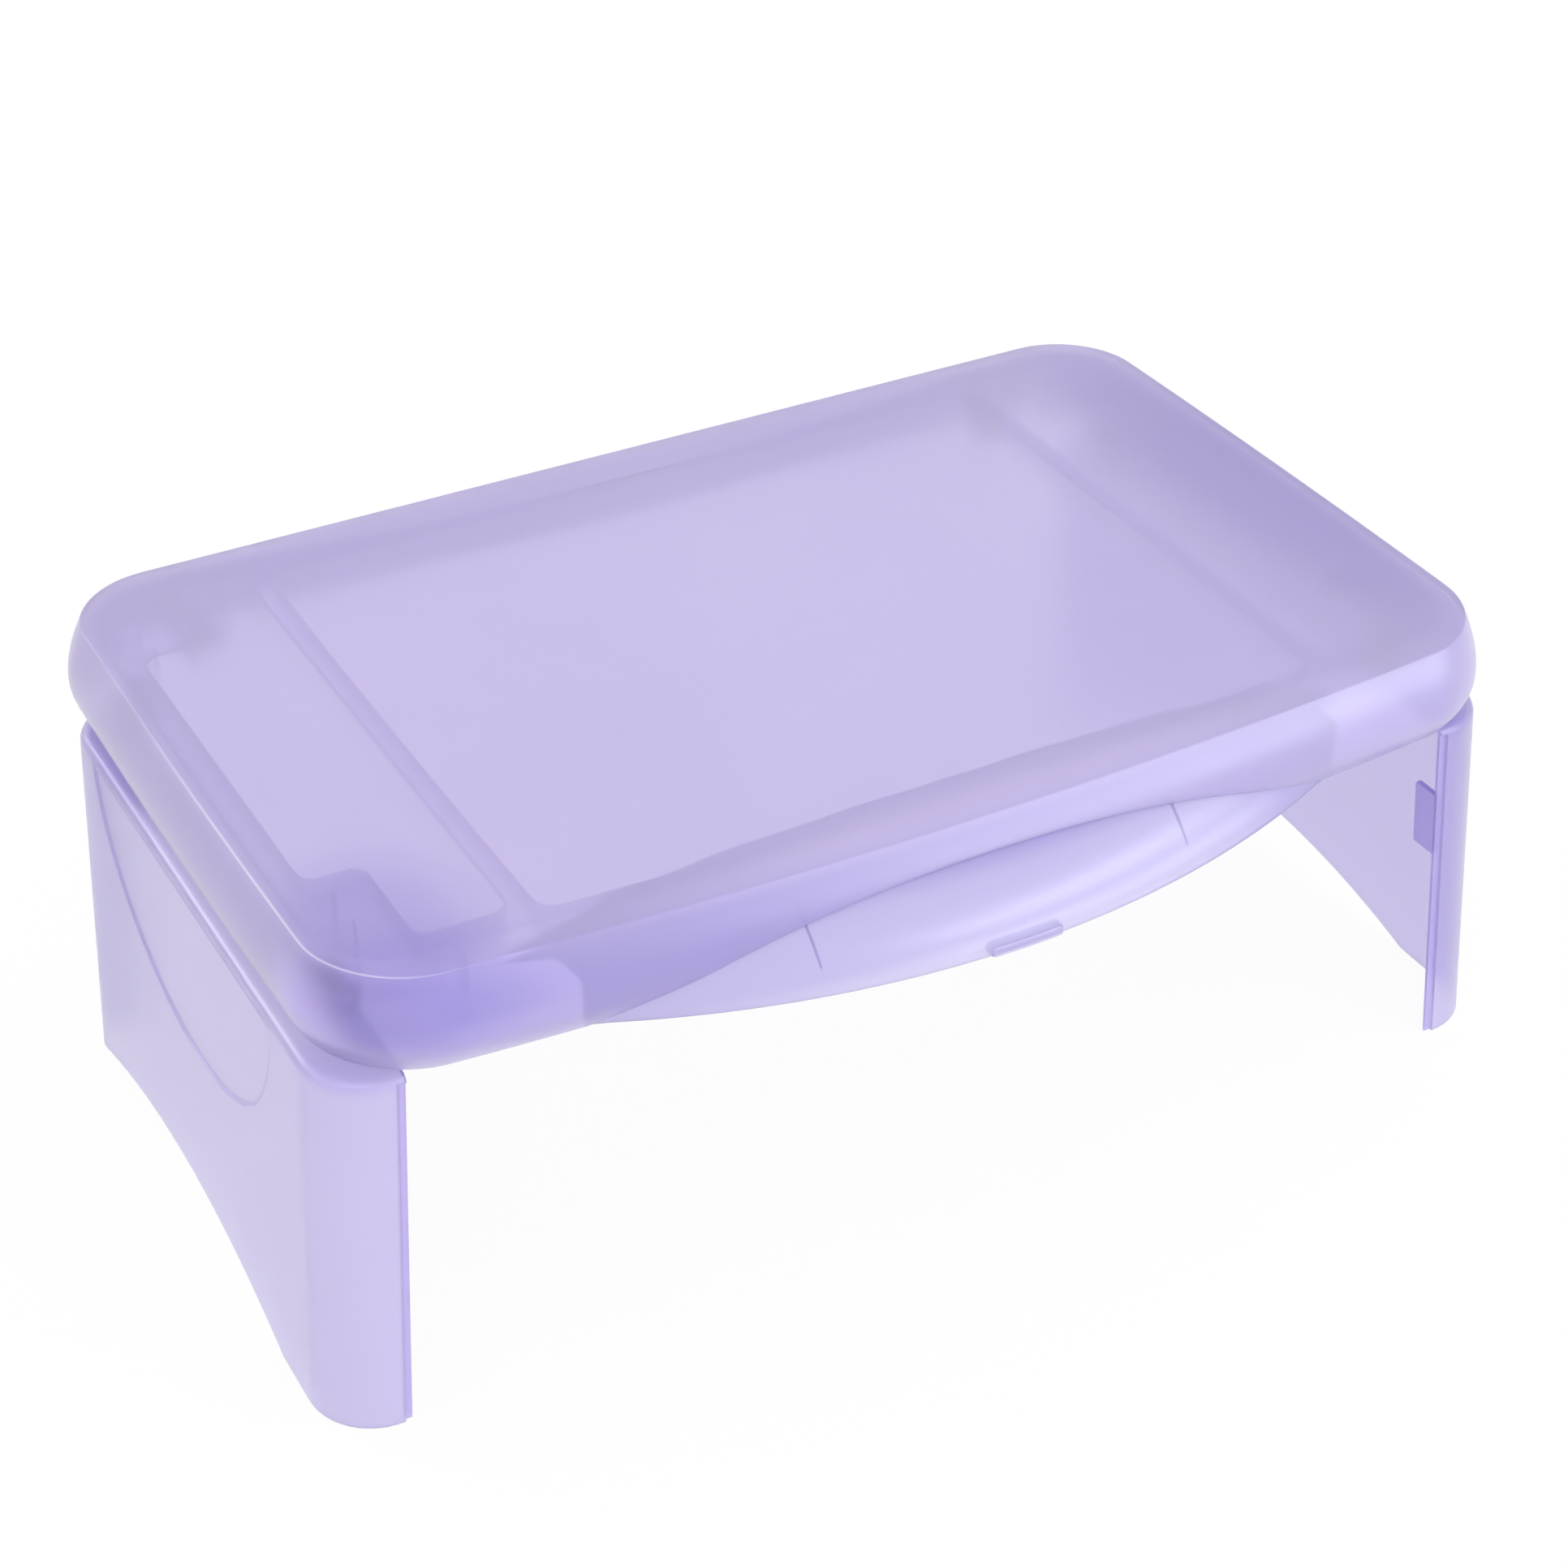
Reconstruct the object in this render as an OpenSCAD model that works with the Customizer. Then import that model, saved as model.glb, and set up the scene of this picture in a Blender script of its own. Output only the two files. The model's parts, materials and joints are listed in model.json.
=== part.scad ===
// Folding lap desk: a shallow storage tray under a lift lid, on two fold-in legs.
// Millimetres, +Z up. The origin is on the floor under the middle of the whole outline.
// The length lies along X. The front, where the lid is lifted, faces -Y.
// Inside the modules, y = 0 is the middle of the flat top; at_origin() moves the result.

/* [Desk top] */
// Length of the flat top at its corners
top_len = 440; // [400:5:480]
// Width of the flat top at its corners
top_wid = 265; // [250:5:290]
// Height of the top above the floor with the legs open
top_h = 177.5; // [165:0.5:215]
// Corner radius of the flat top
top_r = 32; // [24:1:40]
// How far the front edge swells forward in the middle
front_bow = 12; // [4:0.5:16]
// How far each end swells outward in the middle
side_bow = 1.6; // [0:0.1:3]
// Wall thickness of the lid
lid_wall = 2.2; // [1.6:0.1:2.8]

/* [Lid skirt] */
// Height of the lid from its top face to the skirt's bottom edge
skirt_h = 36.5; // [34:0.5:42]
// How far the skirt swells beyond the top's edge
skirt_bulge = 6.5; // [4:0.5:8]
// Depth below the top at which the skirt is widest
bulge_drop = 22; // [18:1:26]
// How far the skirt's bottom edge stands beyond the top's edge at the ends and the rear
skirt_tuck = 1.2; // [0:0.1:3]
// How far it stands beyond the top's edge at the front
front_tuck = -0.3; // [-0.4:0.1:3]
// Height of the skirt's rear edge above its bottom, clear of the hinges
rear_rise = 5.5; // [4.5:0.5:10]

/* [Tray] */
// Wall thickness of the tray
tray_wall = 2; // [1.6:0.1:2.6]
// Gap between the top's edge and the tray's side and rear walls
side_gap = 3.6; // [3.2:0.1:5]
// How far the tray's front rim is set back from the top's edge
rim_back = 14.7; // [12:0.1:18]
// Corner radius of the tray
tray_r = 26; // [20:1:32]
// Half the length of the front wall's deeper middle, which stands in the folded legs' hollows
deep_half = 186; // [150:1:188]
// Gap between the closed lid and the tray's rim
seat_gap = 0.4; // [0.35:0.05:0.8]
// Depth of the storage wells
well_d = 14.4; // [12:0.2:16]
// Depth of the finger recess in the middle of the tray's rear edge
recess_d = 12.5; // [8:0.5:14]
// Half the length of the rear recess
recess_half = 153; // [120:1:156]

/* [Wells] */
// Length of the main well
main_len = 294; // [250:2:310]
// Set back of the main well from the tray's rear recess
main_back = 3; // [2:0.5:8]
// Set back of every well from the tray's front rim
well_front = 5; // [4:0.5:10]
// Width of the ridge between the main well and a pen well
ridge_w = 9; // [6:0.5:14]
// Width of a pen well
pen_w = 31; // [26:0.5:34]
// Length of a pen well
pen_len = 232; // [200:1:236]
// Width of the wider bay beside a pen well
bay_w = 20; // [14:0.5:22]
// Distance from the bay's front end to the middle of the top
bay_front = 70; // [50:1:76]
// Distance from the bay's rear end to the middle of the top
bay_rear = 80; // [50:1:84]
// Corner radius of the wells
well_r = 6; // [3:0.5:10]

/* [Chin] */
// How far the chin stands out beyond the top's front edge, in the middle
chin_out = 25.5; // [18:0.5:32]
// Radius of the chin's front curve, seen from above
chin_sweep = 340; // [300:5:400]
// Roundness of the chin's section: 2 is elliptical, less is flatter
chin_round = 1.7; // [1.5:0.05:2.2]
// Height of the chin's bottom edge above the skirt's bottom edge
chin_lift = 0.4; // [0:0.1:4]
// Gap between the chin and the edge of the skirt that sits round it
chin_gap = 0.5; // [0.3:0.1:1]
// Length of the grip bar under the chin
grip_len = 27; // [20:1:40]
// Thickness of the grip bar
grip_t = 3; // [2:0.5:5]
// Height of the grip bar
grip_h = 3; // [2:0.5:6]
// Thickness of the grip bar's skin outside and under the chin's edge
grip_skin = 0.5; // [0.3:0.1:1]
// Thickness of the ribs inside the chin
rib_t = 1.5; // [1:0.1:2]
// Distance from the middle to a rib
rib_x = 70; // [64:1:110]

/* [Legs] */
// How far a leg's outer face stands beyond the end of the top, at the leg's top
leg_proud = 7.8; // [6:0.2:10]
// Outward lean of an open leg
leg_splay = 3.8; // [2:0.1:6]
// Forward lean of a leg's edges
leg_rake = 2.3; // [0:0.1:3]
// Depth of a leg's front and rear flanges
leg_depth = 27; // [18:0.5:28]
// Radius of a leg's upright corners
leg_r = 24; // [14:0.5:25]
// Wall thickness of a leg
leg_wall = 2.4; // [1.8:0.1:3]
// Distance from the middle of the top to a leg's front face, at the leg's top
leg_front = 131.2; // [130.8:0.2:131.6]
// Distance from the middle of the top to a leg's rear face, at the leg's top
leg_rear = 118.5; // [112:0.5:119]
// Height of the arch between a leg's feet
arch_h = 16.5; // [10:0.5:30]
// Radius of the arch between a leg's feet
arch_r = 299; // [260:1:400]
// Distance of the arch's middle behind the middle of the top
arch_mid = 8; // [-10:1:20]
// Depth of the rim round the arch, from the leg's outer face
arch_rim = 5; // [3:0.5:10]
// Half length of the half-moon grip on a leg's outer face
moon_half = 86; // [50:1:90]
// Drop of the half-moon grip
moon_drop = 60; // [40:1:75]
// Depth of the half-moon grip
moon_t = 0.9; // [0.4:0.1:1.2]
// Drop of the half-moon's straight edge below a leg's top
moon_top = 3; // [2:0.5:10]
// Radius of the rounded edge round a leg's top
leg_edge_r = 6; // [4:0.5:8]
// Width of the thinner lip along a leg's front and rear flanges
lip_w = 2.6; // [1:0.1:5]
// Set back of that lip from the flange's face
lip_step = 1.2; // [0.4:0.1:1.4]
// Gap between a leg's top and the skirt's bottom edge
leg_gap = 2.7; // [2.5:0.1:4]
// Gap between a leg's top and the tray wall that stops it
stop_gap = 0.2; // [0.1:0.05:0.4]
// Half length of the tray wall that stops an open leg
stop_half = 100; // [80:1:104]

/* [Leg catch] */
// Length of the catch along the right leg
catch_len = 26; // [16:1:32]
// Width of the catch across the leg
catch_w = 11; // [8:0.5:14]
// Thickness of the catch
catch_t = 2.4; // [1.6:0.2:3]
// Drop from the leg's hinge to the middle of the catch
catch_down = 52; // [40:1:60]
// Gap at each end of the catch in the notch that takes it
notch_gap = 2; // [1:0.5:3]

/* [Hinges] */
// Radius of the hinge pins
pin_r = 2; // [1.5:0.1:2.5]
// Gap between a pin and the bores that turn on it
pin_fit = 0.06; // [0.03:0.01:0.1]
// Distance from the end of the top in to the legs' hinge axis
pin_in = 13.5; // [13:0.5:14]
// Height of the legs' hinge axis above the leg's top
pin_rise = 9.1; // [8:0.1:11]
// Outer radius of the legs' hinge eyes
eye_r = 5.6; // [5:0.2:5.8]
// Distance from the middle of the top to the middle of a front hinge
hinge_front = 88; // [78:1:90]
// Distance from the middle of the top to the middle of a rear hinge
hinge_rear = 92; // [91:1:94]
// Width of a leg's hinge eye
eye_w = 12; // [9:1:14]
// Width of each tray ear beside a hinge eye
ear_w = 4; // [3:0.5:4.5]
// Side gap between an eye and its ears
eye_gap = 0.4; // [0.2:0.1:0.8]
// Distance from the top's rear edge in to the lid's hinge axis
lid_pin_in = 7.6; // [7:0.2:9]
// Outer radius of the lid's hinge eyes
lid_eye_r = 4.3; // [3.8:0.1:4.6]
// Distance from the end of the top in to the middle of a lid hinge
lid_hinge_in = 48; // [44:1:52]
// Length of the raised rear edge beyond the middle of a lid hinge
rise_end = 25; // [16:1:27]

/* [Hidden] */

tint = "lavender";
dark_tint = "mediumpurple";
steel = "silver";

half_len = top_len / 2;
half_wid = top_wid / 2;
corner_steps = 10;
side_steps = 12;
sweep_steps = 24;
rise_steps = 10;
bore_faces = 48;
arc_faces = 240;
over = 1; // how far a cut runs past what it cuts
eps = 0.01;

// heights
skirt_z = top_h - skirt_h;
leg_top = skirt_z - leg_gap;
stop_z = leg_top + stop_gap;
rim_z = top_h - lid_wall - seat_gap;
floor_z = rim_z - well_d;
under_z = floor_z - tray_wall;
chin_z = skirt_z + chin_lift;
chin_h = rim_z - chin_z;

// leg hinge, a leg's outer face and lip at its top, and that face measured square from the hinge
leg_pin_x = half_len - pin_in;
leg_pin_z = leg_top + pin_rise;
leg_x = half_len + leg_proud;
leg_lip_x = leg_x - leg_depth;
leg_out = (leg_x - leg_pin_x) * cos(leg_splay) - pin_rise * sin(leg_splay);

// lid hinge
lid_hinge_x = half_len - lid_hinge_in;
lid_pin_y = half_wid - lid_pin_in;
lid_pin_z = skirt_z + rear_rise;

// tray outline and its rear recess
tray_x = half_len - side_gap;
tray_rear = half_wid - side_gap;
tray_front = half_wid - rim_back;
recess_r = (recess_half * recess_half + recess_d * recess_d) / (2 * recess_d);
recess_y = tray_rear - recess_d;

// wells
main_x = main_len / 2;
main_rear = recess_y - main_back;
well_front_y = tray_front - well_front;
pen_x = main_x + ridge_w;
bay_x = pen_x + pen_w;

// chin
chin_tip_y = half_wid + front_bow + chin_out;
chin_deep = chin_tip_y - tray_front;

// The whole outline runs from the chin's front to the skirt's widest point at the rear.
y_shift = (chin_tip_y - half_wid - skirt_bulge) / 2;

module at_origin() translate([0, y_shift, 0]) children();

// One rounded corner of a plan outline, centred on [x, y], from angle a on.
function corner(x, y, r, a) =
    [for (i = [0:corner_steps]) [x + r * cos(a + 90 * i / corner_steps), y + r * sin(a + 90 * i / corner_steps)]];

// Points between the ends of a straight run along X.
function run_x(x0, x1, y) = [for (i = [1:side_steps - 1]) [x0 + (x1 - x0) * i / side_steps, y]];

// Points between the ends of a straight run along Y.
function run_y(x, y0, y1) = [for (i = [1:side_steps - 1]) [x, y0 + (y1 - y0) * i / side_steps]];

// A rounded oblong from -f to b in y, before it is bowed.
function oblong(x, f, b, r) = concat(
    corner(x - r, b - r, r, 0), run_x(x - r, r - x, b),
    corner(r - x, b - r, r, 90), run_y(-x, b - r, r - f),
    corner(r - x, r - f, r, 180), run_x(r - x, x - r, -f),
    corner(x - r, r - f, r, 270), run_y(x, r - f, b - r));

// The front edge and the ends swell in the middle.
function bowed(p) = [
    p.x + side_bow * (p.x / half_len) * max(0, 1 - pow(p.y / half_wid, 2)),
    p.y - front_bow * max(0, -p.y / half_wid) * max(0, 1 - pow(p.x / half_len, 2))];

function outline(x, f, b, r) = [for (p = oblong(x, f, b, r)) bowed(p)];

// How far the skirt stands beyond the top's edge at a depth d below the top, for a given tuck.
function skirt_off(d, tuck = skirt_tuck) = d < bulge_drop
    ? skirt_bulge * sin(90 * d / bulge_drop)
    : tuck + (skirt_bulge - tuck) * cos(90 * (d - bulge_drop) / (skirt_h - bulge_drop));

// A closed solid through rings of points that all have the same count.
module loft(rings) {
    n = len(rings[0]);
    last = len(rings) - 1;
    points = [for (ring = rings) each ring];
    sides = [for (k = [0:last - 1]) for (i = [0:n - 1])
        each [[k * n + i, k * n + (i + 1) % n, (k + 1) * n + i],
              [k * n + (i + 1) % n, (k + 1) * n + (i + 1) % n, (k + 1) * n + i]]];
    polyhedron(points = points, faces = concat([for (s = sides) [s[0], s[2], s[1]]],
        [[for (i = [0:n - 1]) i]], [[for (i = [0:n - 1]) last * n + n - 1 - i]]));
}

function ring_at(pts, z) = [for (p = pts) [p.x, p.y, z]];

// Depths below the top at which the skirt's section is drawn, from its bottom edge up.
skirt_depths = concat([for (k = [4:-1:1]) bulge_drop + (skirt_h - bulge_drop) * k / 4],
                      [for (k = [5:-1:1]) bulge_drop * k / 5]);

function lid_ring(inset, d) = let (
    off = skirt_off(min(d, skirt_h)) - inset,
    front_off = skirt_off(min(d, skirt_h), front_tuck) - inset)
    ring_at(outline(half_len + off, half_wid + front_off, half_wid + off, top_r + off), top_h - d);

// The lid's outer form, inset by the given wall; a cutting form runs past the bottom edge.
module lid_form(inset) {
    depths = concat(inset > 0 ? [skirt_h + over] : [], skirt_depths, [inset]);
    loft([for (d = depths) if (d >= inset) lid_ring(inset, d)]);
}

// The chin's setback from its bottom edge at a rise u, as a share of its depth.
function chin_in(u, h) = 1 - pow(1 - pow(min(1, u / h), chin_round), 1 / chin_round);

// The chin's plan at one level: an arc in front, straight along the tray's rim behind.
function chin_ring(deep, radius, z) = let (half = sqrt(2 * radius * deep - deep * deep)) concat(
    [for (i = [0:sweep_steps]) let (x = half * (2 * i / sweep_steps - 1))
        [x, radius - sqrt(radius * radius - x * x) - deep - tray_front, z]],
    [[half, tray_wall - tray_front, z], [-half, tray_wall - tray_front, z]]);

// The chin as a filled form, grown outward by g and reaching down by the given drop.
module chin_form(g, drop) {
    deep = chin_deep + g;
    high = chin_h + g;
    thin = rib_t / 4;
    loft(concat([chin_ring(deep, chin_sweep + g, chin_z - drop)],
        [for (k = [1:rise_steps - 1]) let (u = high * sin(90 * k / rise_steps))
            chin_ring(max(thin, deep * (1 - chin_in(u, high))), chin_sweep + g, chin_z + u)],
        [chin_ring(thin * 0.9, chin_sweep + g, chin_z + high)]));
}

// A rounded oblong slab between two corners.
module slab(x0, x1, y0, y1, r, z0, z1) {
    translate([0, 0, z0]) linear_extrude(z1 - z0)
        polygon(concat(corner(x1 - r, y1 - r, r, 0), corner(x0 + r, y1 - r, r, 90),
            corner(x0 + r, y0 + r, r, 180), corner(x1 - r, y0 + r, r, 270)));
}

module both_sides() {
    children();
    mirror([1, 0, 0]) children();
}

// A round bar or bore along Y or X, centred on a point.
module along_y(r, w) rotate([90, 0, 0]) cylinder(r = r, h = w, center = true, $fn = bore_faces);
module along_x(r, w) rotate([0, 90, 0]) cylinder(r = r, h = w, center = true, $fn = bore_faces);

// ---- lid ----

lid_bore_r = pin_r + pin_fit;

module lid_eye(x) {
    web = half_wid - lid_pin_y + skirt_off(skirt_h - rear_rise) - lid_wall / 2;
    difference() {
        union() {
            translate([x, lid_pin_y, lid_pin_z]) along_x(lid_eye_r, eye_w);
            translate([x - eye_w / 2, lid_pin_y, lid_pin_z]) cube([eye_w, web, lid_eye_r]);
        }
        translate([x, lid_pin_y, lid_pin_z]) along_x(lid_bore_r, eye_w + 2 * over);
    }
}

module lid() color(tint) at_origin() {
    rise_x = lid_hinge_x + rise_end;
    difference() {
        lid_form(0);
        lid_form(lid_wall);
        intersection() {
            chin_form(chin_gap, chin_lift + over);
            translate([-half_len, -top_wid, 0]) cube([top_len, top_wid, top_h - lid_wall]);
        }
        translate([-rise_x, half_wid - top_r / 2, skirt_z - over]) cube([2 * rise_x, top_r, rear_rise + over]);
    }
    both_sides() lid_eye(lid_hinge_x);
}

module lid_pin(x) color(steel) at_origin()
    translate([x, lid_pin_y, lid_pin_z]) along_x(pin_r, eye_w + 2 * eye_gap + 2 * ear_w);

// ---- tray ----

module tray_plan(inset) polygon(outline(tray_x - inset, tray_front - inset, tray_rear - inset, tray_r - inset));

module recess_plan(grow) translate([0, recess_y + recess_r]) circle(r = recess_r + grow, $fn = arc_faces);

module well_plan(grow) {
    r = well_r + grow;
    polygon([for (p = oblong(main_x + grow, well_front_y + grow, main_rear + grow, r)) bowed(p)]);
}

module side_wells(grow, z0, z1) {
    r = well_r + grow;
    y0 = -well_front_y - grow;
    slab(pen_x - grow, bay_x + grow, y0, pen_len - well_front_y + grow, r, z0, z1);
    slab(bay_x - 2 * r, bay_x + bay_w + grow, -bay_front - grow, bay_rear + grow, r, z0, z1);
}

module wells(grow, z0, z1) {
    translate([0, 0, z0]) linear_extrude(z1 - z0) well_plan(grow);
    both_sides() side_wells(grow, z0, z1);
}

module leg_ears(y) {
    for (s = [-1, 1])
        translate([leg_pin_x, y + s * (eye_w / 2 + eye_gap + ear_w / 2), 0]) difference() {
            union() {
                translate([0, 0, leg_pin_z]) along_y(eye_r, ear_w);
                translate([-eye_r, -ear_w / 2, leg_pin_z]) cube([2 * eye_r, ear_w, rim_z - leg_pin_z - tray_wall / 2]);
            }
            translate([0, 0, leg_pin_z]) along_y(pin_r, ear_w + 2 * over);
        }
}

module lid_ears() {
    for (s = [-1, 1])
        translate([lid_hinge_x + s * (eye_w / 2 + eye_gap + ear_w / 2), 0, 0]) difference() {
            union() {
                translate([0, lid_pin_y, lid_pin_z]) along_x(lid_eye_r, ear_w);
                translate([-ear_w / 2, lid_pin_y - lid_eye_r, lid_pin_z])
                    cube([ear_w, lid_eye_r + tray_rear - lid_pin_y - eps, rim_z - lid_pin_z - tray_wall / 2]);
            }
            translate([0, lid_pin_y, lid_pin_z]) along_x(pin_r, ear_w + 2 * over);
        }
}

// The side walls reach down to the legs' tops and hold the open legs at their lean.
module side_stops() {
    translate([0, 0, stop_z]) linear_extrude(rim_z - stop_z) intersection() {
        difference() {
            tray_plan(0);
            tray_plan(tray_wall);
        }
        for (s = [-1, 1]) translate([s * tray_x, 0]) square([2 * well_r, 2 * stop_half], center = true);
    }
}

// The front wall reaches down to the chin's bottom edge and closes the view under the lid. A notch
// in it takes the right leg's catch when that leg is folded.
module deep_front() {
    difference() {
        translate([0, 0, chin_z]) linear_extrude(rim_z - chin_z - tray_wall / 2) intersection() {
            difference() {
                tray_plan(0);
                tray_plan(tray_wall);
            }
            translate([-deep_half, -top_wid]) square([2 * deep_half, half_wid + tray_r]);
        }
        translate([leg_pin_x - catch_down - catch_len / 2 - notch_gap, -top_wid, chin_z - over])
            cube([catch_len + 2 * notch_gap, top_wid, under_z - chin_z + over]);
    }
}

module base_tray() color(tint) at_origin() {
    difference() {
        union() {
            translate([0, 0, rim_z - tray_wall]) linear_extrude(tray_wall) tray_plan(0);
            translate([0, 0, under_z]) linear_extrude(rim_z - under_z - tray_wall / 2) difference() {
                tray_plan(0);
                tray_plan(tray_wall);
            }
            wells(tray_wall, under_z, rim_z - tray_wall / 2);
            translate([0, 0, under_z]) linear_extrude(rim_z - under_z) intersection() {
                tray_plan(0);
                difference() {
                    recess_plan(tray_wall);
                    recess_plan(0);
                }
            }
        }
        wells(0, floor_z, rim_z + over);
        translate([0, 0, under_z - over]) linear_extrude(rim_z - under_z + 2 * over) recess_plan(0);
    }
    side_stops();
    deep_front();
    both_sides() {
        leg_ears(-hinge_front);
        leg_ears(hinge_rear);
        lid_ears();
    }
    chin();
}

// The room that a folding leg's front flange needs behind the chin.
module leg_room() {
    front = leg_front + leg_pin_z * tan(leg_rake) + chin_gap;
    translate([half_len - leg_pin_z - 2 * pin_in, -front, 0]) cube([leg_pin_z + 2 * pin_in, front, under_z]);
}

module chin_shell() {
    difference() {
        chin_form(0, 0);
        chin_form(-tray_wall, over);
    }
}

// Two ribs tie the chin's shell to the tray's front wall.
module chin_ribs() {
    intersection() {
        chin_form(0, 0);
        both_sides() translate([rib_x - rib_t / 2, -chin_tip_y, chin_z]) cube([rib_t, chin_tip_y, chin_h]);
    }
}

module chin() {
    difference() {
        union() {
            chin_shell();
            chin_ribs();
        }
        translate([0, 0, chin_z - over]) linear_extrude(chin_h + 2 * over) tray_plan(tray_wall / 2);
        both_sides() leg_room();
    }
}

// The bar clips over the chin's bottom edge.
module grip_bar() color(dark_tint) at_origin() {
    difference() {
        intersection() {
            chin_form(grip_skin, grip_skin);
            translate([-grip_len / 2, -chin_tip_y - over, chin_z - grip_skin])
                cube([grip_len, tray_wall + grip_t + over, grip_h + grip_skin]);
        }
        chin_shell();
    }
}

// ---- legs ----

// A right leg stands in the frame of its hinge: x is outward and the axis is at z = 0.
module in_leg_frame() translate([leg_pin_x, 0, leg_pin_z]) rotate([0, -leg_splay, 0]) children();

// A leg's plan at its top, from its lip out to the outer face, with rounded outer corners.
function leg_plan(inset, lip) = let (
    r = leg_r - inset, x = leg_x - inset, front = leg_front - inset, rear = leg_rear - inset)
    concat([[lip, rear], [lip, -front]], corner(x - r, r - front, r, 270), corner(x - r, rear - r, r, 0));

// A plan carried down to the height z, outward by the splay and forward by the rake.
function lean(pts, z) = let (k = leg_top - z)
    [for (p = pts) [p.x + k * tan(leg_splay), p.y - k * tan(leg_rake), z]];

// The leg as a filled form with a rounded top edge, inset by a wall and starting at a height.
module leg_form(inset, lip, z0) {
    r = leg_edge_r - inset;
    loft(concat([lean(leg_plan(inset, lip), z0)],
        [for (a = [0:15:90]) lean(leg_plan(inset + r * (1 - cos(a)), lip), leg_top - leg_edge_r + r * sin(a))]));
}

// A leaning block between pairs of plan coordinates and heights.
module leaning(x0, x1, y0, y1, z0, z1) {
    plan = [[x0, y0], [x1, y0], [x1, y1], [x0, y1]];
    loft([lean(plan, z0), lean(plan, z1)]);
}

module arch(grow) translate([0, arch_mid, arch_h - arch_r]) rotate([0, 90, 0])
    cylinder(r = arch_r + grow, h = top_len, $fn = arc_faces);

// The hollow of a leg, open towards the lap, with a shallow rim left along the arch.
module leg_hollow() {
    difference() {
        leg_form(leg_wall, leg_lip_x - over, -over);
        intersection() {
            arch(leg_wall);
            leaning(leg_x - arch_rim, leg_x + over, -leg_front, leg_rear, -over, leg_top / 2);
        }
    }
}

// The flanges end in a thinner lip, set back from their faces.
module leg_lips() {
    x0 = leg_lip_x - over;
    x1 = leg_lip_x + lip_w;
    leaning(x0, x1, -leg_front - over, lip_step - leg_front, -over, leg_top + over);
    leaning(x0, x1, leg_rear - lip_step, leg_rear + over, -over, leg_top + over);
}

module leg_shape() {
    difference() {
        leg_form(0, leg_lip_x, 0);
        leg_hollow();
        leg_lips();
        arch(0);
        moon();
    }
}

module leg_eye(y) {
    difference() {
        union() {
            translate([leg_pin_x, y, leg_pin_z]) along_y(eye_r, eye_w);
            translate([leg_pin_x - eye_r, y - eye_w / 2, leg_top - leg_wall / 2])
                cube([2 * eye_r, eye_w, pin_rise + leg_wall / 2]);
        }
        translate([leg_pin_x, y, leg_pin_z]) along_y(pin_r + pin_fit, eye_w + 2 * over);
    }
}

module moon() {
    in_leg_frame() translate([leg_out - moon_t, 0, -pin_rise - moon_top]) rotate([90, 0, 90])
        linear_extrude(moon_t + over)
            polygon([for (a = [180:5:360]) [moon_half * cos(a), moon_drop * sin(a)]]);
}

module right_leg_body() {
    leg_shape();
    leg_eye(-hinge_front);
    leg_eye(hinge_rear);
}

// The catch plate stands behind the right leg's front flange and meets the tray when it is folded.
module right_leg_catch() color(dark_tint) at_origin() {
    z = leg_pin_z - catch_down;
    y = leg_wall - leg_front;
    leaning(leg_lip_x, leg_lip_x + catch_t, y, y + catch_w, z - catch_len / 2, z + catch_len / 2);
}

module right_leg() color(tint) at_origin() right_leg_body();
module left_leg() color(tint) at_origin() mirror([1, 0, 0]) right_leg_body();

module leg_pin(x, y) color(steel) at_origin()
    translate([x, y, leg_pin_z]) along_y(pin_r, eye_w + 2 * eye_gap + 2 * ear_w);

lid();
base_tray();
grip_bar();
left_leg();
right_leg();
right_leg_catch();
leg_pin(-leg_pin_x, -hinge_front);  // left_front_leg_pin
leg_pin(-leg_pin_x, hinge_rear);  // left_rear_leg_pin
leg_pin(leg_pin_x, -hinge_front);  // right_front_leg_pin
leg_pin(leg_pin_x, hinge_rear);  // right_rear_leg_pin
lid_pin(-lid_hinge_x);  // left_lid_pin
lid_pin(lid_hinge_x);  // right_lid_pin
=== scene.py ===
"""Folding lap desk: the visible shells of frosted plastic, dressed over the CAD frame.

Lengths are millimetres, with y = 0 in the middle of the flat top; place() turns them into metres.
"""
import json
from collections import namedtuple
from math import atan2, cos, degrees, hypot, pi, radians, sin, sqrt, tan

import bmesh
import bpy
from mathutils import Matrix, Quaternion, Vector


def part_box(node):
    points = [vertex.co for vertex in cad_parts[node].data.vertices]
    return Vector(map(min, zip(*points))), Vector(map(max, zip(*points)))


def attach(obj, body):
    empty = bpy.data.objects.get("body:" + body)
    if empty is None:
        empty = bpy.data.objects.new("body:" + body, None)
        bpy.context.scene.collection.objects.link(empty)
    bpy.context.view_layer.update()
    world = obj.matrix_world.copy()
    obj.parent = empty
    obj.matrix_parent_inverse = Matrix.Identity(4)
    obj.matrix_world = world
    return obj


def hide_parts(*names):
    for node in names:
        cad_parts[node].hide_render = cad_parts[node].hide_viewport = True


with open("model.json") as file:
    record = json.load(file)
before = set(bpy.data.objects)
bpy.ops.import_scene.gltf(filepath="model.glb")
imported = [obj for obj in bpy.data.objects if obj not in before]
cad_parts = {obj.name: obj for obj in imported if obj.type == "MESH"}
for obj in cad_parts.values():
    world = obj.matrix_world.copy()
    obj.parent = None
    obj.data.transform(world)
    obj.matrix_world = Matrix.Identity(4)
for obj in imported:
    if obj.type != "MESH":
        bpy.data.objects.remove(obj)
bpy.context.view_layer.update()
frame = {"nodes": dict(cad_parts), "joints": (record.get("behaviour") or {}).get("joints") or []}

MM = 0.001


def node_box(name):
    """The lowest and highest corners of a CAD node in millimetres."""
    low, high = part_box(name)
    return [v / MM for v in low], [v / MM for v in high]


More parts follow.
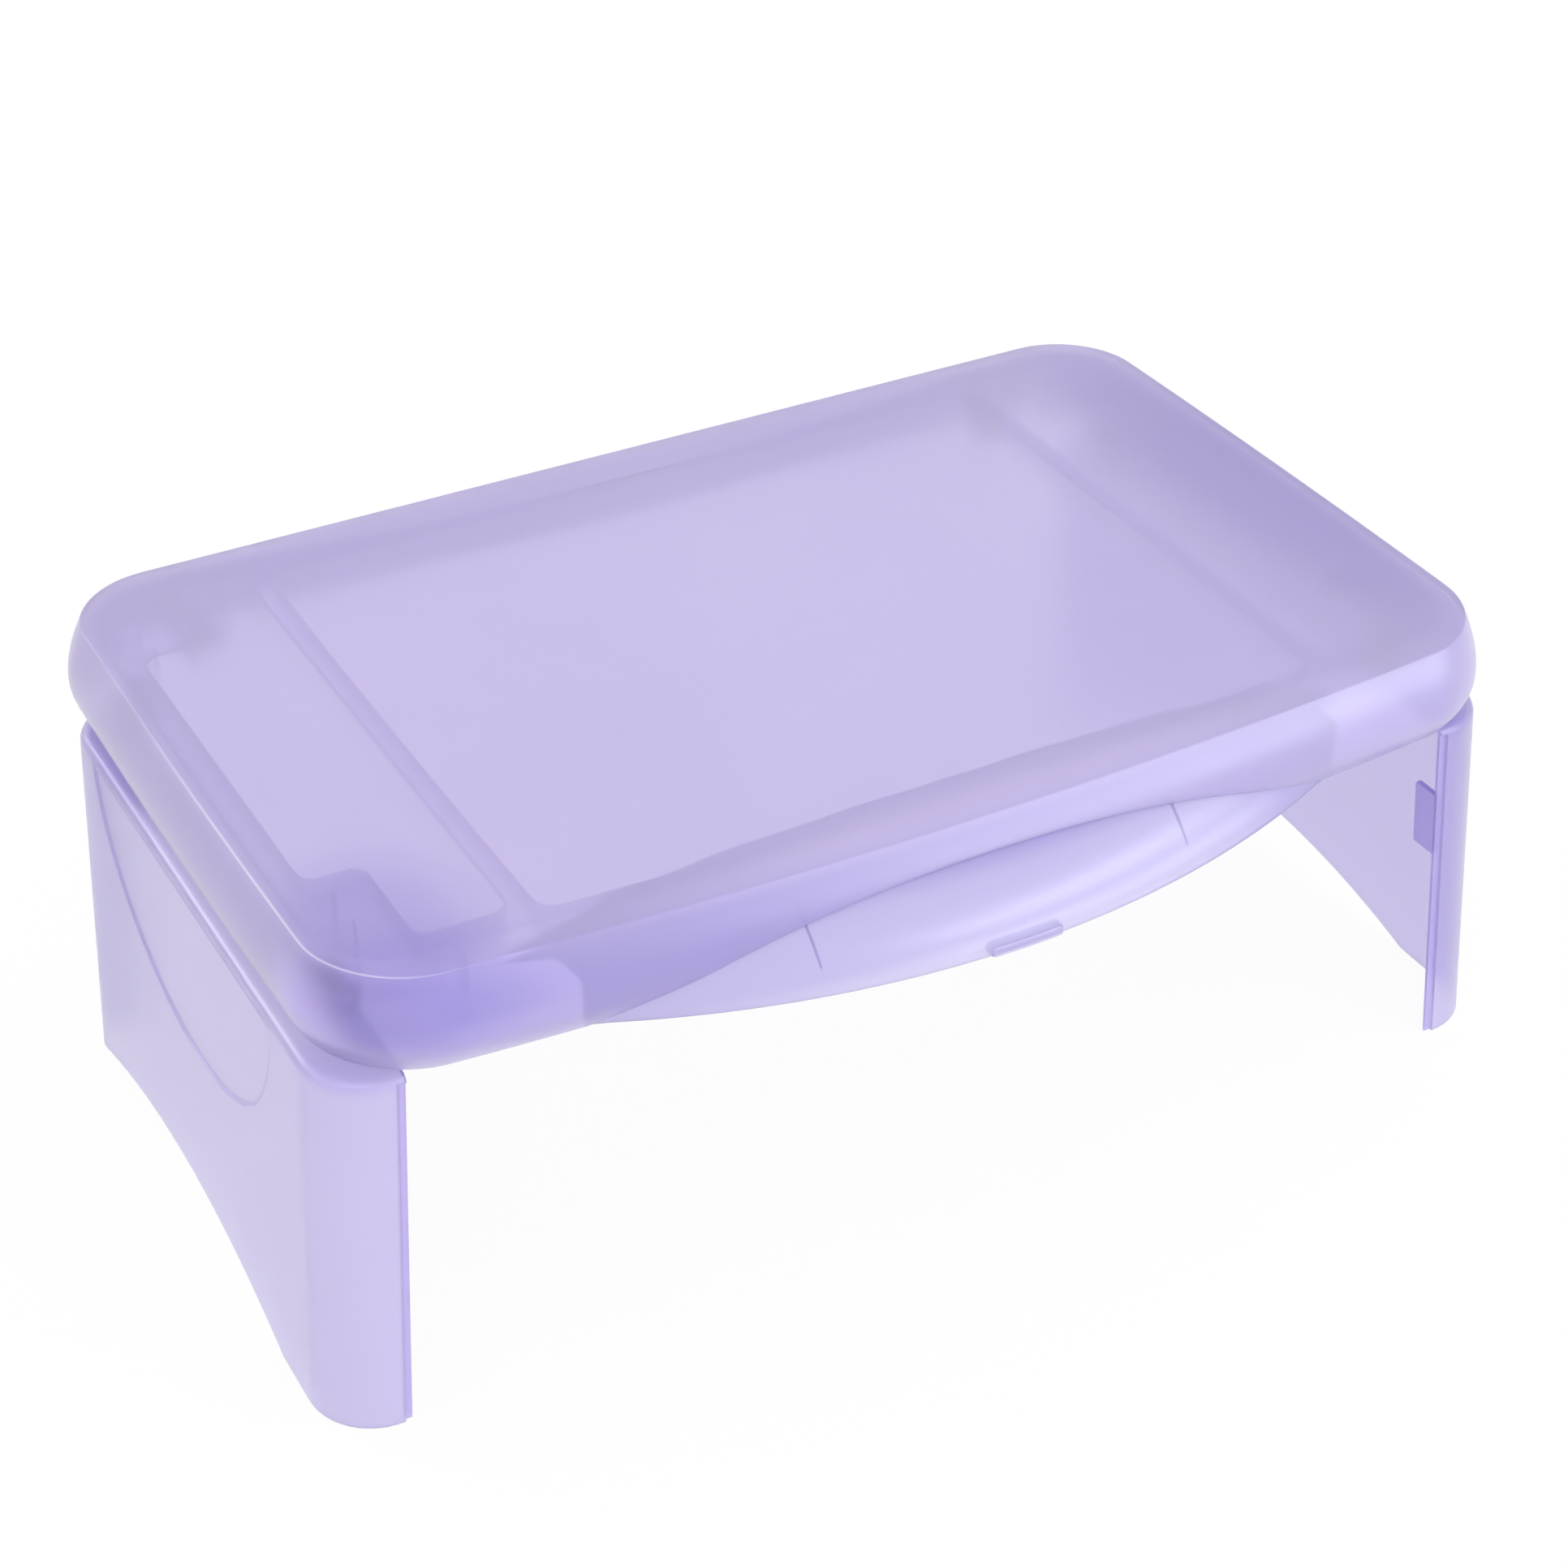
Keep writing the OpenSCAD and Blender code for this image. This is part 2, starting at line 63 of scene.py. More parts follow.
joint_place = {j["name"]: [v / MM for v in j["pos_m"]] for j in frame["joints"]}
leg_axis = joint_place["right_leg_hinge"]
lid_axis = joint_place["lid_hinge"]
lid_low, lid_high = node_box("lid")
front_pin_low, front_pin_high = node_box("right_front_leg_pin")
rear_pin_low, rear_pin_high = node_box("right_rear_leg_pin")
lid_pin_low, lid_pin_high = node_box("right_lid_pin")
catch_low, catch_high = node_box("right_leg_catch")

# ---- lid ----
SHIFT_Y = leg_axis[1]
TOP_H = lid_high[2]
SKIRT_Z = lid_low[2]
SKIRT_H = TOP_H - SKIRT_Z
SKIRT_BULGE = 6.5  # how far the skirt swells past the top's edge
BULGE_DROP = 22  # the depth at which it swells most
SKIRT_TUCK = 1.2  # what is left of the swelling at the bottom of the sides and the rear
FRONT_TUCK = -0.3  # and at the bottom of the front
SIDE_BOW = 1.6
FRONT_BOW = 12
TOP_R = 32
LID_WALL = 2.2
EDGE_R = 0.8
HEM_R = 0.9
HALF_LEN = lid_high[0] - SKIRT_BULGE - SIDE_BOW
HALF_WID = lid_high[1] - SHIFT_Y - SKIRT_BULGE
LID_PIN_Z = lid_axis[2]
REAR_RISE = LID_PIN_Z - SKIRT_Z  # the skirt is shorter at the rear, over the finger recess
RISE_HALF = 197

# ---- tray ----
TRAY_WALL = 2
RIM_Z = node_box("base_tray")[1][2]
WELL_D = 14.4
FLOOR_Z = RIM_Z - WELL_D
UNDER_Z = FLOOR_Z - TRAY_WALL
SIDE_GAP = 3.6
RIM_BACK = 14.7
TRAY_X = HALF_LEN - SIDE_GAP
TRAY_REAR = HALF_WID - SIDE_GAP
TRAY_FRONT = HALF_WID - RIM_BACK
TRAY_R = 26
RECESS_D = 12.5
RECESS_HALF = 153
RECESS_R = (RECESS_HALF ** 2 + RECESS_D ** 2) / (2 * RECESS_D)
RECESS_Y = TRAY_REAR - RECESS_D
STOP_HALF = 100  # the leg stops are deeper parts of the side walls
STOP_REACH = 8
DEEP_HALF = 186
RIM_R = 1.4
UNDER_R = 0.4
TRAY_EDGE_R = 0.4
WEB_X = 178
WEB_D = 7
WEB_T = 1.2
WEB_EDGE = 0.2
WEB_SINK = 0.4  # how far behind the wall's outer face a web starts
WEB_FOOT = 0.6
WEB_HEAD = 1

# ---- wells ----
MAIN_X = 147
MAIN_BACK = 3
FRONT_RIM = 5
RIDGE_W = 9
PEN_W = 31
PEN_LEN = 232
BAY_W = 20
MAIN_REAR = RECESS_Y - MAIN_BACK
WELL_FRONT = TRAY_FRONT - FRONT_RIM
PEN_X = MAIN_X + RIDGE_W
PEN_REAR = PEN_LEN - WELL_FRONT
BAY_X = PEN_X + PEN_W
BAY_OUT = BAY_X + BAY_W
BAY_FRONT = 70
BAY_REAR = 80
WELL_R = 6
WELL_SKIN = 0.8  # the wells' own walls are thinner than the tray's
WELL_DRAFT = 0.6
FOOT_R = 3.0

# ---- chin ----
CHIN_OUT = 25.5
CHIN_SWEEP = 340
CHIN_ROUND = 1.7
CHIN_LIFT = 0.4
CHIN_Z = SKIRT_Z + CHIN_LIFT
CHIN_GAP = 0.5
CHIN_H = RIM_Z - CHIN_Z
CHIN_TIP = HALF_WID + FRONT_BOW + CHIN_OUT
CHIN_DEEP = CHIN_TIP - TRAY_FRONT
CHIN_EDGE_R = 0.5
CHIN_TUCK = 0.5  # how far it reaches into the tray's wall and over its lower edge
CHIN_ENDS = 0.985  # the share of the chin's span that its shell covers
CHIN_LEAST = 0.6  # the least height of its shell
RIB_X = 70
RIB_T = 0.8
RIB_D = 1.4
RIB_BITE = 0.05
RIB_FOOT = 8
RIB_HEAD = 6

# ---- grip bar ----
GRIP_SKIN = 0.5
GRIP_DEEP = 3.0
GRIP_R = 0.7
GRIP_LEAN = 0.4
GRIP_DRAW = 0.45  # how far the bar narrows at its ends
GRIP_DRAW_LEN = 1.2
GRIP_END = 0.5  # a ring this far from each end

# ---- legs ----
LEG_GAP = 2.7
LEG_TOP = SKIRT_Z - LEG_GAP
STOP_GAP = 0.2
STOP_Z = LEG_TOP + STOP_GAP
LEG_PIN_X, LEG_PIN_Z = leg_axis[0], leg_axis[2]
LEG_PROUD = 7.8
LEG_DEPTH = 27
LEG_X = HALF_LEN + LEG_PROUD
LEG_LIP_X = LEG_X - LEG_DEPTH
LEG_SPLAY = radians(3.8)
LEG_RAKE = radians(2.3)
LEG_R = 24
LEG_WALL = 2.4
LEG_FRONT = 131.2
LEG_REAR = 118.5
LEG_EDGE_R = 3.4
ARCH_H = 16.5
ARCH_R = 299
ARCH_MID = 8
ARCH_LEAST = 0.5  # below this height of the arch a column counts as standing on the floor
LIP_W = 2.6
LIP_STEP = 1.2
LIP_EASE = 0.1
LIP_LAND = 0.5
LIP_RISE = 0.15
FOOT_EDGE = 0.8

# ---- half-moon in a leg's outer face ----
MOON_MID = -12.0
MOON_DEEP = 63.3
MOON_TOP = 3.4
MOON_REAR = (97.0, 1.8, 1)  # reach, power of the curve and way along y
MOON_FRONT = (73.5, 2.4, -1)
MOON_ENDS = 0.985  # the share of a quarter turn at which each side's curve stops
# The groove round it as (inset from its edge, depth below the face), then the slightly sunk middle.
MOON_GROOVE = ((0, 0), (0.25, 0.2), (0.6, 0.95), (0.9, 1.15), (1.5, 1.15), (1.9, 0.8), (2.6, 0.75))

# ---- catch and the notch that takes it ----
CATCH_T = 2.4
CATCH_W = 11.0
CATCH_GAP = 0.02
CATCH_R = 0.4
CATCH_DRAW = (0.16, 0.4)  # how far its ends are drawn in, along x and y
NOTCH_GAP = 6
NOTCH = [LEG_PIN_X - (LEG_PIN_Z - z) + way * NOTCH_GAP
         for z, way in ((catch_low[2], -1), (catch_high[2], 1))]

# ---- hinges ----
PIN_FIT = 0.06
PIN_R = (lid_pin_high[2] - lid_pin_low[2]) / 2
EYE_R = 5.6
LID_EYE_R = 4.3
EYE_GAP = 0.4
EAR_W = 4
EYE_W = rear_pin_high[1] - rear_pin_low[1] - 2 * EYE_GAP - 2 * EAR_W
EAR_PLACES = (-EYE_W / 2 - EYE_GAP - EAR_W, EYE_W / 2 + EYE_GAP)
ROOT = 0.6  # the share of a wall's thickness that an ear or an eye is sunk or set back
EAR_INSET = 0.02
HINGE_FRONT = (front_pin_low[1] + front_pin_high[1]) / 2 - SHIFT_Y
HINGE_REAR = (rear_pin_low[1] + rear_pin_high[1]) / 2 - SHIFT_Y
LID_HINGE_X = (lid_pin_low[0] + lid_pin_high[0]) / 2
LID_PIN_Y = lid_axis[1] - SHIFT_Y

# ---- room in the chin for a folded leg ----
POCKET_Y = -(LEG_FRONT + LEG_PIN_Z * tan(LEG_RAKE) + CHIN_GAP)
POCKET_START = 2 * LEG_PIN_X - HALF_LEN - LEG_PIN_Z
POCKET_DEEP = CHIN_TIP + POCKET_Y
POCKET_EASE = 1
POCKET_END = sqrt(2 * CHIN_SWEEP * POCKET_DEEP - POCKET_DEEP ** 2) - POCKET_EASE
POCKET_STEP = 0.1
POCKET_H = 6

# ---- counts and finish ----
CORNER_STEPS = 18
SIDE_STEPS = 84
END_STEPS = 16
BEND_STEPS = 5
SKIRT_ROWS = 15
INNER_ROWS = 13
HEM_STEPS = 6
HALVINGS = 18
ARC_STEPS = 9  # for each quarter of a lid ear or a lid eye
EYE_STEPS = 24
BORE_STEPS = 24
WELL_STEPS = 8
CHIN_COLUMNS = 72
CHIN_ROWS = 26
RIB_STEPS = 12
GRIP_STEPS = 8
SOFT_STEPS = 4
LEG_TURNS = 12
LEG_FACE_STEPS = 44
LIP_FACES = 3
FLAT_START = LIP_FACES + 1 + LEG_TURNS  # the first column of a leg's flat outer face
FLAT_END = FLAT_START + LEG_FACE_STEPS
LEG_ROWS = 16
FOOT_ROUNDS = 6
LEG_TOP_STEPS = 20
MOON_STEPS = 26
MOON_TOP_STEPS = 40
FOOT_SHARES = (0.12, 0.5, 0.88)
CHIN_EDGE_SHARES = (0.2, 0.5, 0.8)
FLAT_BAND = 0.6  # a narrow flat strip beside a bend keeps the light even on the flat
TOP_BAND = 5  # and a wider one on the lid
PLATE_EDGE = 0.35
TRIM_EDGE = 0.1
WELD = 1e-7  # metres
SHARP = radians(50)


def place(p):
    """A point in metres in the frame's own place."""
    return Vector((p[0], p[1] + SHIFT_Y, p[2])) * MM


# ---------------------------------------------------------------- mesh helpers

def add_ring(bm, points):
    """New vertices at the points, in millimetres."""
    return [bm.verts.new(place(p)) for p in points]


def join_rings(bm, rings, closed=True, material_index=0):
    """Quads between neighbouring rings of the same count."""
    for a, b in zip(rings, rings[1:]):
        last = len(a) if closed else len(a) - 1
        for i in range(last):
            k = (i + 1) % len(a)
            corners = []
            for v in (a[i], a[k], b[k], b[i]):
                if v not in corners:
                    corners.append(v)
            if len(corners) > 2:
                bm.faces.new(corners).material_index = material_index


def edges_round(bm, ring):
    """The edges of a closed ring, made where they are missing."""
    edges = []
    for i, v in enumerate(ring):
        w = ring[(i + 1) % len(ring)]
        edges.append(bm.edges.get((v, w)) or bm.edges.new((v, w)))
    return edges


def fill(bm, *rings, normal=(0, 0, 1), material_index=0):
    """Fills the region between flat closed rings, the first of them outermost."""
    edges = [e for ring in rings for e in edges_round(bm, ring)]
    made = bmesh.ops.triangle_fill(bm, use_beauty=True, use_dissolve=False, edges=edges, normal=normal)
    for face in made["geom"]:
        if isinstance(face, bmesh.types.BMFace):
            face.material_index = material_index


def finish_piece(name, bm, material, body, nodes=(), second=None):
    """Turns the mesh into a smooth piece that rides on a body and stands for CAD nodes."""
    bmesh.ops.remove_doubles(bm, verts=bm.verts, dist=WELD)
    bmesh.ops.recalc_face_normals(bm, faces=bm.faces)
    mesh = bpy.data.meshes.new(name)
    bm.to_mesh(mesh)
    bm.free()
    mesh.polygons.foreach_set("use_smooth", [True] * len(mesh.polygons))
    mesh.materials.append(material)
    if second:
        mesh.materials.append(second)
    piece = bpy.data.objects.new(name, mesh)
    bpy.context.scene.collection.objects.link(piece)
    mesh.set_sharp_from_angle(angle=SHARP)
    weigh = piece.modifiers.new("even_normals", "WEIGHTED_NORMAL")
    weigh.keep_sharp = True
    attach(piece, body)
    if nodes:
        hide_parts(*nodes)
    return piece


def arc(cx, cy, r, start, end, steps):
    """Points on a circle from a start to an end, in degrees."""
    turn = [start + (end - start) * i / steps for i in range(steps + 1)]
    return [(cx + r * cos(radians(a)), cy + r * sin(radians(a))) for a in turn]


def between(a, b, steps):
    """Points strictly between two ends of a straight run."""
    return [tuple(p + (q - p) * i / steps for p, q in zip(a, b)) for i in range(1, steps)]


def quarter_bend(steps):
    """The turns of a rounded edge after its start, up to a right angle."""
    return [pi / 2 * k / steps for k in range(1, steps + 1)]


def offset_loop(loop, distance):
    """Moves each point of a flat counter-clockwise loop inward along its own normal."""
    moved = []
    for i, p in enumerate(loop):
        q, s = loop[i - 1], loop[(i + 1) % len(loop)]
        tx, ty = s[0] - q[0], s[1] - q[1]
        size = hypot(tx, ty) or 1
        moved.append((p[0] - ty / size * distance, p[1] + tx / size * distance))
    return moved


def soften(corners, r):
    """Rounds each corner of a flat convex loop."""
    loop = []
    for n, (x, y) in enumerate(corners):
        a, b = corners[n - 1], corners[(n + 1) % len(corners)]
        la, lb = hypot(a[0] - x, a[1] - y), hypot(b[0] - x, b[1] - y)
        p = (x + (a[0] - x) / la * r, y + (a[1] - y) / la * r)
        q = (x + (b[0] - x) / lb * r, y + (b[1] - y) / lb * r)
        for k in range(SOFT_STEPS + 1):
            t = k / SOFT_STEPS
            loop.append(tuple((1 - t) ** 2 * s + 2 * t * (1 - t) * m + t ** 2 * e
                              for s, m, e in zip(p, (x, y), q)))
    return loop


def add_plate(bm, loops, to_space, thickness, edge=PLATE_EDGE):
    """A flat plate with softened edges; to_space turns (u, v, w) into a point."""
    inner = [offset_loop(loop, edge) for loop in loops]
    stations = [(0, inner), (edge, loops), (thickness - edge, loops), (thickness, inner)]
    stacks = []
    for n in range(len(loops)):
        rings = [add_ring(bm, [to_space(u, v, w) for u, v in shape[n]]) for w, shape in stations]
        join_rings(bm, rings)
        stacks.append(rings)
    axis = place(to_space(0, 0, 1)) - place(to_space(0, 0, 0))
    for end in (0, -1):
        fill(bm, *[rings[end] for rings in stacks], normal=axis.normalized())


def bore_loop(cx, cy, r):
    """A bore's edge, clockwise as a hole in a plate has to be."""
    return arc(cx, cy, r, 360, 360 / BORE_STEPS, BORE_STEPS - 1)


# ---------------------------------------------------------------- outlines

def oblong(x, f, b, r):
    """A rounded oblong from -f to b in y, counter-clockwise, always with the same count."""
    return (arc(x - r, b - r, r, 0, 90, CORNER_STEPS) + between((x - r, b), (r - x, b), SIDE_STEPS)
            + arc(r - x, b - r, r, 90, 180, CORNER_STEPS) + between((-x, b - r), (-x, r - f), END_STEPS)
            + arc(r - x, r - f, r, 180, 270, CORNER_STEPS) + between((r - x, -f), (x - r, -f), SIDE_STEPS)
            + arc(x - r, r - f, r, 270, 360, CORNER_STEPS) + between((x, r - f), (x, b - r), END_STEPS))


def bowed(p):
    """The front edge and the ends swell in the middle."""
    x, y = p
    side = SIDE_BOW * (x / HALF_LEN) * max(0, 1 - (y / HALF_WID) ** 2)
    front = FRONT_BOW * max(0, -y / HALF_WID) * max(0, 1 - (x / HALF_LEN) ** 2)
    return (x + side, y - front)


def outline(x, f, b, r):
    """The bowed oblong that lid and tray share."""
    return [bowed(p) for p in oblong(x, f, b, r)]


# ---------------------------------------------------------------- lid

def skirt_off(d, tuck):
    """How far the skirt stands out from the top's edge at a depth d."""
    if d < BULGE_DROP:
        return SKIRT_BULGE * sin(pi / 2 * d / BULGE_DROP)
    return tuck + (SKIRT_BULGE - tuck) * cos(pi / 2 * (d - BULGE_DROP) / (SKIRT_H - BULGE_DROP))


def lid_outline(off, front_off):
    """The lid's plan, moved out from the top's edge, by its own distance at the front."""
    return outline(HALF_LEN + off, HALF_WID + front_off, HALF_WID + off, TOP_R + off)


def lid_point(i, d, inset):
    """The place of column i of the skirt at a depth d, moved in by an inset."""
    depth = min(max(d, 0), SKIRT_H)
    off, front_off = skirt_off(depth, SKIRT_TUCK) - inset, skirt_off(depth, FRONT_TUCK) - inset
    return lid_outline(off, front_off)[i]


def sag(x, radius=CHIN_SWEEP):
    """How far the chin's front curve falls back at x."""
    return radius - sqrt(max(0, radius ** 2 - x ** 2))


def chin_deep(u, deep=CHIN_DEEP, high=CHIN_H):
    """How far the chin stands before the tray's rim at a rise u."""
    share = min(1, max(0, u / high))
    return deep * (1 - share ** CHIN_ROUND) ** (1 / CHIN_ROUND)


def chin_front(x, z, grow=0.0):
    """The chin's surface in y at a place x and a height z, or None beside or above it."""
    if z > CHIN_Z + CHIN_H + grow:
        return None
    reach = chin_deep(z - CHIN_Z, CHIN_DEEP + grow, CHIN_H + grow) - sag(x, CHIN_SWEEP + grow)
    return -TRAY_FRONT - reach if reach > 0 else None


def before_chin(i, d, inset):
    """Whether column i of the skirt at a depth d keeps its gap before the chin, or is beside it."""
    x, y = lid_point(i, d, inset)
    limit = chin_front(x, TOP_H - d, CHIN_GAP)
    return limit is None or y <= limit


def skirt_bottom(i, inset):
    """The depth below the top at which the skirt ends: its own edge, the chin or the rear rise."""
    x, y = lid_point(i, SKIRT_H, inset)
    if y > 0:
        raised = abs(x) < RISE_HALF and y > HALF_WID - TOP_R / 2
        return SKIRT_H - REAR_RISE if raised else SKIRT_H
    if before_chin(i, SKIRT_H, inset):
        return SKIRT_H
    above, below = BULGE_DROP / 2, SKIRT_H
    for _ in range(HALVINGS):
        middle = (above + below) / 2
        if before_chin(i, middle, inset):
            above = middle
        else:
            below = middle
    return above


def lid_profile(i, inset, first, steps, bottom):
    """One column of a skirt surface, from a first depth down to its bottom."""
    column = []
    for k in range(steps + 1):
        d = first + (bottom - first) * k / steps
        column.append((*lid_point(i, d, inset), TOP_H - d))
    return column


def lid_column(i, first):
    """One column of the skirt: down the outside, round the hem and up the inside."""
    low_out, low_in = skirt_bottom(i, 0), skirt_bottom(i, LID_WALL)
    outer = lid_profile(i, 0, first, SKIRT_ROWS, low_out - HEM_R)
    hem = []
    for k in range(1, HEM_STEPS):
        a = pi * k / HEM_STEPS
        share = (1 - cos(a)) / 2
        d = low_out + (low_in - low_out) * share + HEM_R * (sin(a) - 1)
        hem.append((*lid_point(i, d, LID_WALL * share), TOP_H - d))
    inner = lid_profile(i, LID_WALL, LID_WALL + 1, INNER_ROWS, low_in - HEM_R)
    return outer + hem + inner[::-1]


def build_lid(material):
    """The lid's shell with its flat top, bulging skirt and the two eyes at the rear."""
    bm = bmesh.new()
    lean = atan2(1, SKIRT_BULGE * pi / 2 / BULGE_DROP)
    start = EDGE_R * tan(lean / 2)
    rings = [add_ring(bm, [(*p, TOP_H) for p in lid_outline(-s, -s)])
             for s in (start + TOP_BAND, start + FLAT_BAND)]
    for k in range(BEND_STEPS):
        a = lean * k / BEND_STEPS
        off, drop = EDGE_R * sin(a) - start, EDGE_R * (1 - cos(a))
        rings.append(add_ring(bm, [(*p, TOP_H - drop) for p in lid_outline(off, off)]))
    columns = [lid_column(i, start * sin(lean)) for i in range(len(lid_outline(0, 0)))]
    rings += [add_ring(bm, row) for row in zip(*columns)]
    rings += [add_ring(bm, [(*p, TOP_H - LID_WALL) for p in lid_outline(-s, -s)])
              for s in (LID_WALL + FLAT_BAND, LID_WALL + TOP_BAND)]
    join_rings(bm, rings)
    fill(bm, rings[0])
    fill(bm, rings[-1])
    for side in (-1, 1):
        add_lid_eye(bm, side * LID_HINGE_X)
    return finish_piece("lid_shell", bm, material, "lid", ("lid",))


def add_lid_eye(bm, x):
    """An eye round the lid's pin, joined to the rear skirt by a short web."""
    web = HALF_WID + skirt_off(SKIRT_H - REAR_RISE, SKIRT_TUCK) - LID_WALL * ROOT
    y, z, r = LID_PIN_Y, LID_PIN_Z, LID_EYE_R
    round_pin = arc(y, z, r, 90, 270, 2 * ARC_STEPS) + arc(y, z, r, 270, 360, ARC_STEPS)[1:]
    shape = [(web, z), (web, z + r)] + round_pin
    add_plate(bm, [shape, bore_loop(y, z, PIN_R + PIN_FIT)],
              lambda u, v, w: (x - EYE_W / 2 + w, u, v), EYE_W)


# ---------------------------------------------------------------- tray

def recess_edge(x, inset):
    """The rear edge of the finger recess in y."""
    radius = RECESS_R + inset
    return RECESS_Y + RECESS_R - sqrt(radius ** 2 - x ** 2)


def tray_outline(inset):
    """The tray's plan with the finger recess at the rear."""
    ring = outline(TRAY_X - inset, TRAY_FRONT - inset, TRAY_REAR - inset, TRAY_R - inset)
    return [(x, min(y, recess_edge(x, inset))) for x, y in ring]


def rounded(corners, inset):
    """A loop round a right-angled shape; corners are (x, y, turn) counter-clockwise, turn -1 where hollow."""
    loop = []
    for n, (x, y, turn) in enumerate(corners):
        px, py, _ = corners[n - 1]
        nx, ny, _ = corners[(n + 1) % len(corners)]
        in_x, in_y = (x > px) - (x < px), (y > py) - (y < py)
        out_x, out_y = (nx > x) - (nx < x), (ny > y) - (ny < y)
        x, y = x + inset * (-in_y - out_y), y + inset * (in_x + out_x)
        r = WELL_R - turn * inset
        cx, cy = x - (in_x - out_x) * r, y - (in_y - out_y) * r
        start = degrees(atan2(y - in_y * r - cy, x - in_x * r - cx))
        loop += arc(cx, cy, r, start, start + 90 * turn, WELL_STEPS)
    return loop


def main_well(inset):
    """The plan of the large well, with a bowed front."""
    return outline(MAIN_X - inset, WELL_FRONT - inset, MAIN_REAR - inset, WELL_R - inset)


def pen_well(inset):
    """The plan of the narrow right well with its bay."""
    corners = [(BAY_X, -WELL_FRONT, 1), (BAY_X, -BAY_FRONT, -1), (BAY_OUT, -BAY_FRONT, 1),
               (BAY_OUT, BAY_REAR, 1), (BAY_X, BAY_REAR, -1), (BAY_X, PEN_REAR, 1),
               (PEN_X, PEN_REAR, 1), (PEN_X, -WELL_FRONT, 1)]
    return rounded(corners, inset)


def left_pen_well(inset):
    """The narrow right well's plan, mirrored."""
    return [(-x, y) for x, y in reversed(pen_well(inset))]


WELLS = (main_well, pen_well, left_pen_well)


def add_well(bm, shape, skin, rim_z, floor_z, rim_r, foot_r, rim_material=0):
    """A well's surface from the deck's flat down to its floor; returns the loop on the deck."""
    rings = [add_ring(bm, [(*p, rim_z) for p in shape(-s - skin)]) for s in (rim_r + FLAT_BAND, rim_r)]
    for a in quarter_bend(BEND_STEPS):
        rings.append(add_ring(bm, [(*p, rim_z - rim_r * (1 - cos(a)))
                                   for p in shape(-skin - rim_r * (1 - sin(a)))]))
    for a in [0] + quarter_bend(BEND_STEPS):
        inset = WELL_DRAFT + foot_r * (1 - cos(a)) - skin
        rings.append(add_ring(bm, [(*p, floor_z + foot_r * (1 - sin(a))) for p in shape(inset)]))
    rings.append(add_ring(bm, [(*p, floor_z) for p in shape(WELL_DRAFT + foot_r + FLAT_BAND - skin)]))
    join_rings(bm, rings[:BEND_STEPS + 2], material_index=rim_material)
    join_rings(bm, rings[BEND_STEPS + 1:])
    fill(bm, rings[-1])
    return rings[0]


def tray_edge(x, y):
    """The height of the tray wall's bottom edge: deeper at the leg stops and along the front."""
    if abs(x) > TRAY_X - STOP_REACH and abs(y) < STOP_HALF:
        return STOP_Z
    if y < 0 and abs(x) < DEEP_HALF and not NOTCH[0] < x < NOTCH[1]:
        return CHIN_Z
    return UNDER_Z


def add_wall_side(bm, inset, top_z, edge, shares):
    """The rings of one side of the tray's wall, each a share of the way from its top to its edge."""
    rings = []
    for t in shares:
        rings.append(add_ring(bm, [(x, y, top_z + (z + TRAY_EDGE_R - top_z) * t)
                                   for (x, y), z in zip(tray_outline(inset), edge)]))
    return rings


def build_tray(material, rim_material):
    """The tray's deck, wells, wall, ears and webs; the deck and the rims have their own material."""
    bm = bmesh.new()
    deck = [add_ring(bm, [(*p, RIM_Z) for p in tray_outline(s)]) for s in (RIM_R + FLAT_BAND, RIM_R)]
    for a in quarter_bend(BEND_STEPS)[:-1]:
        deck.append(add_ring(bm, [(*p, RIM_Z - RIM_R * (1 - cos(a)))
                                  for p in tray_outline(RIM_R * (1 - sin(a)))]))
    edge = [tray_edge(x, y) for x, y in tray_outline(0)]
    walls = add_wall_side(bm, 0, RIM_Z - RIM_R, edge, (0, 0.5, 1))
    for inset in (TRAY_EDGE_R, TRAY_WALL - TRAY_EDGE_R):
        walls.append(add_ring(bm, [(x, y, z) for (x, y), z in zip(tray_outline(inset), edge)]))
    walls += add_wall_side(bm, TRAY_WALL, RIM_Z - TRAY_WALL, edge, (1, 0.5, 0))
    join_rings(bm, deck + walls[:1], material_index=1)
    join_rings(bm, walls)
    tops = [add_well(bm, shape, 0, RIM_Z, FLOOR_Z, RIM_R, FOOT_R, 1) for shape in WELLS]
    fill(bm, deck[0], *tops, material_index=1)
    unders = [add_well(bm, shape, WELL_SKIN, RIM_Z - TRAY_WALL, UNDER_Z, UNDER_R, FOOT_R + 1)
              for shape in WELLS]
    fill(bm, walls[-1], *unders)
    for side in (-1, 1):
        for y in (HINGE_FRONT, HINGE_REAR):
            add_leg_ears(bm, side * LEG_PIN_X, y)
        add_lid_ears(bm, side * LID_HINGE_X)
        add_front_web(bm, side * WEB_X)
    return finish_piece("tray_shell", bm, material, "tray", ("base_tray",), second=rim_material)


def add_leg_ears(bm, x, hinge_y):
    """Two ears that hold a leg's pin under the deck."""
    z, r = LEG_PIN_Z, EYE_R
    top = RIM_Z - TRAY_WALL * ROOT
    shape = [(x - r, top)] + arc(x, z, r, 180, 360, EYE_STEPS) + [(x + r, top)]
    for start in EAR_PLACES:
        add_plate(bm, [shape, bore_loop(x, z, PIN_R)], lambda u, v, w: (u, hinge_y + start + w, v), EAR_W)


def add_front_web(bm, x):
    """A short upright web on the inside of the tray's front wall."""
    wall = bowed((x, -TRAY_FRONT))[1] + WEB_SINK
    low, high = UNDER_Z + WEB_FOOT, RIM_Z - WEB_HEAD
    shape = [(wall - WEB_D, low), (wall, low), (wall, high), (wall - WEB_D, high)]
    add_plate(bm, [shape], lambda u, v, w: (x - WEB_T / 2 + w, u, v), WEB_T, WEB_EDGE)


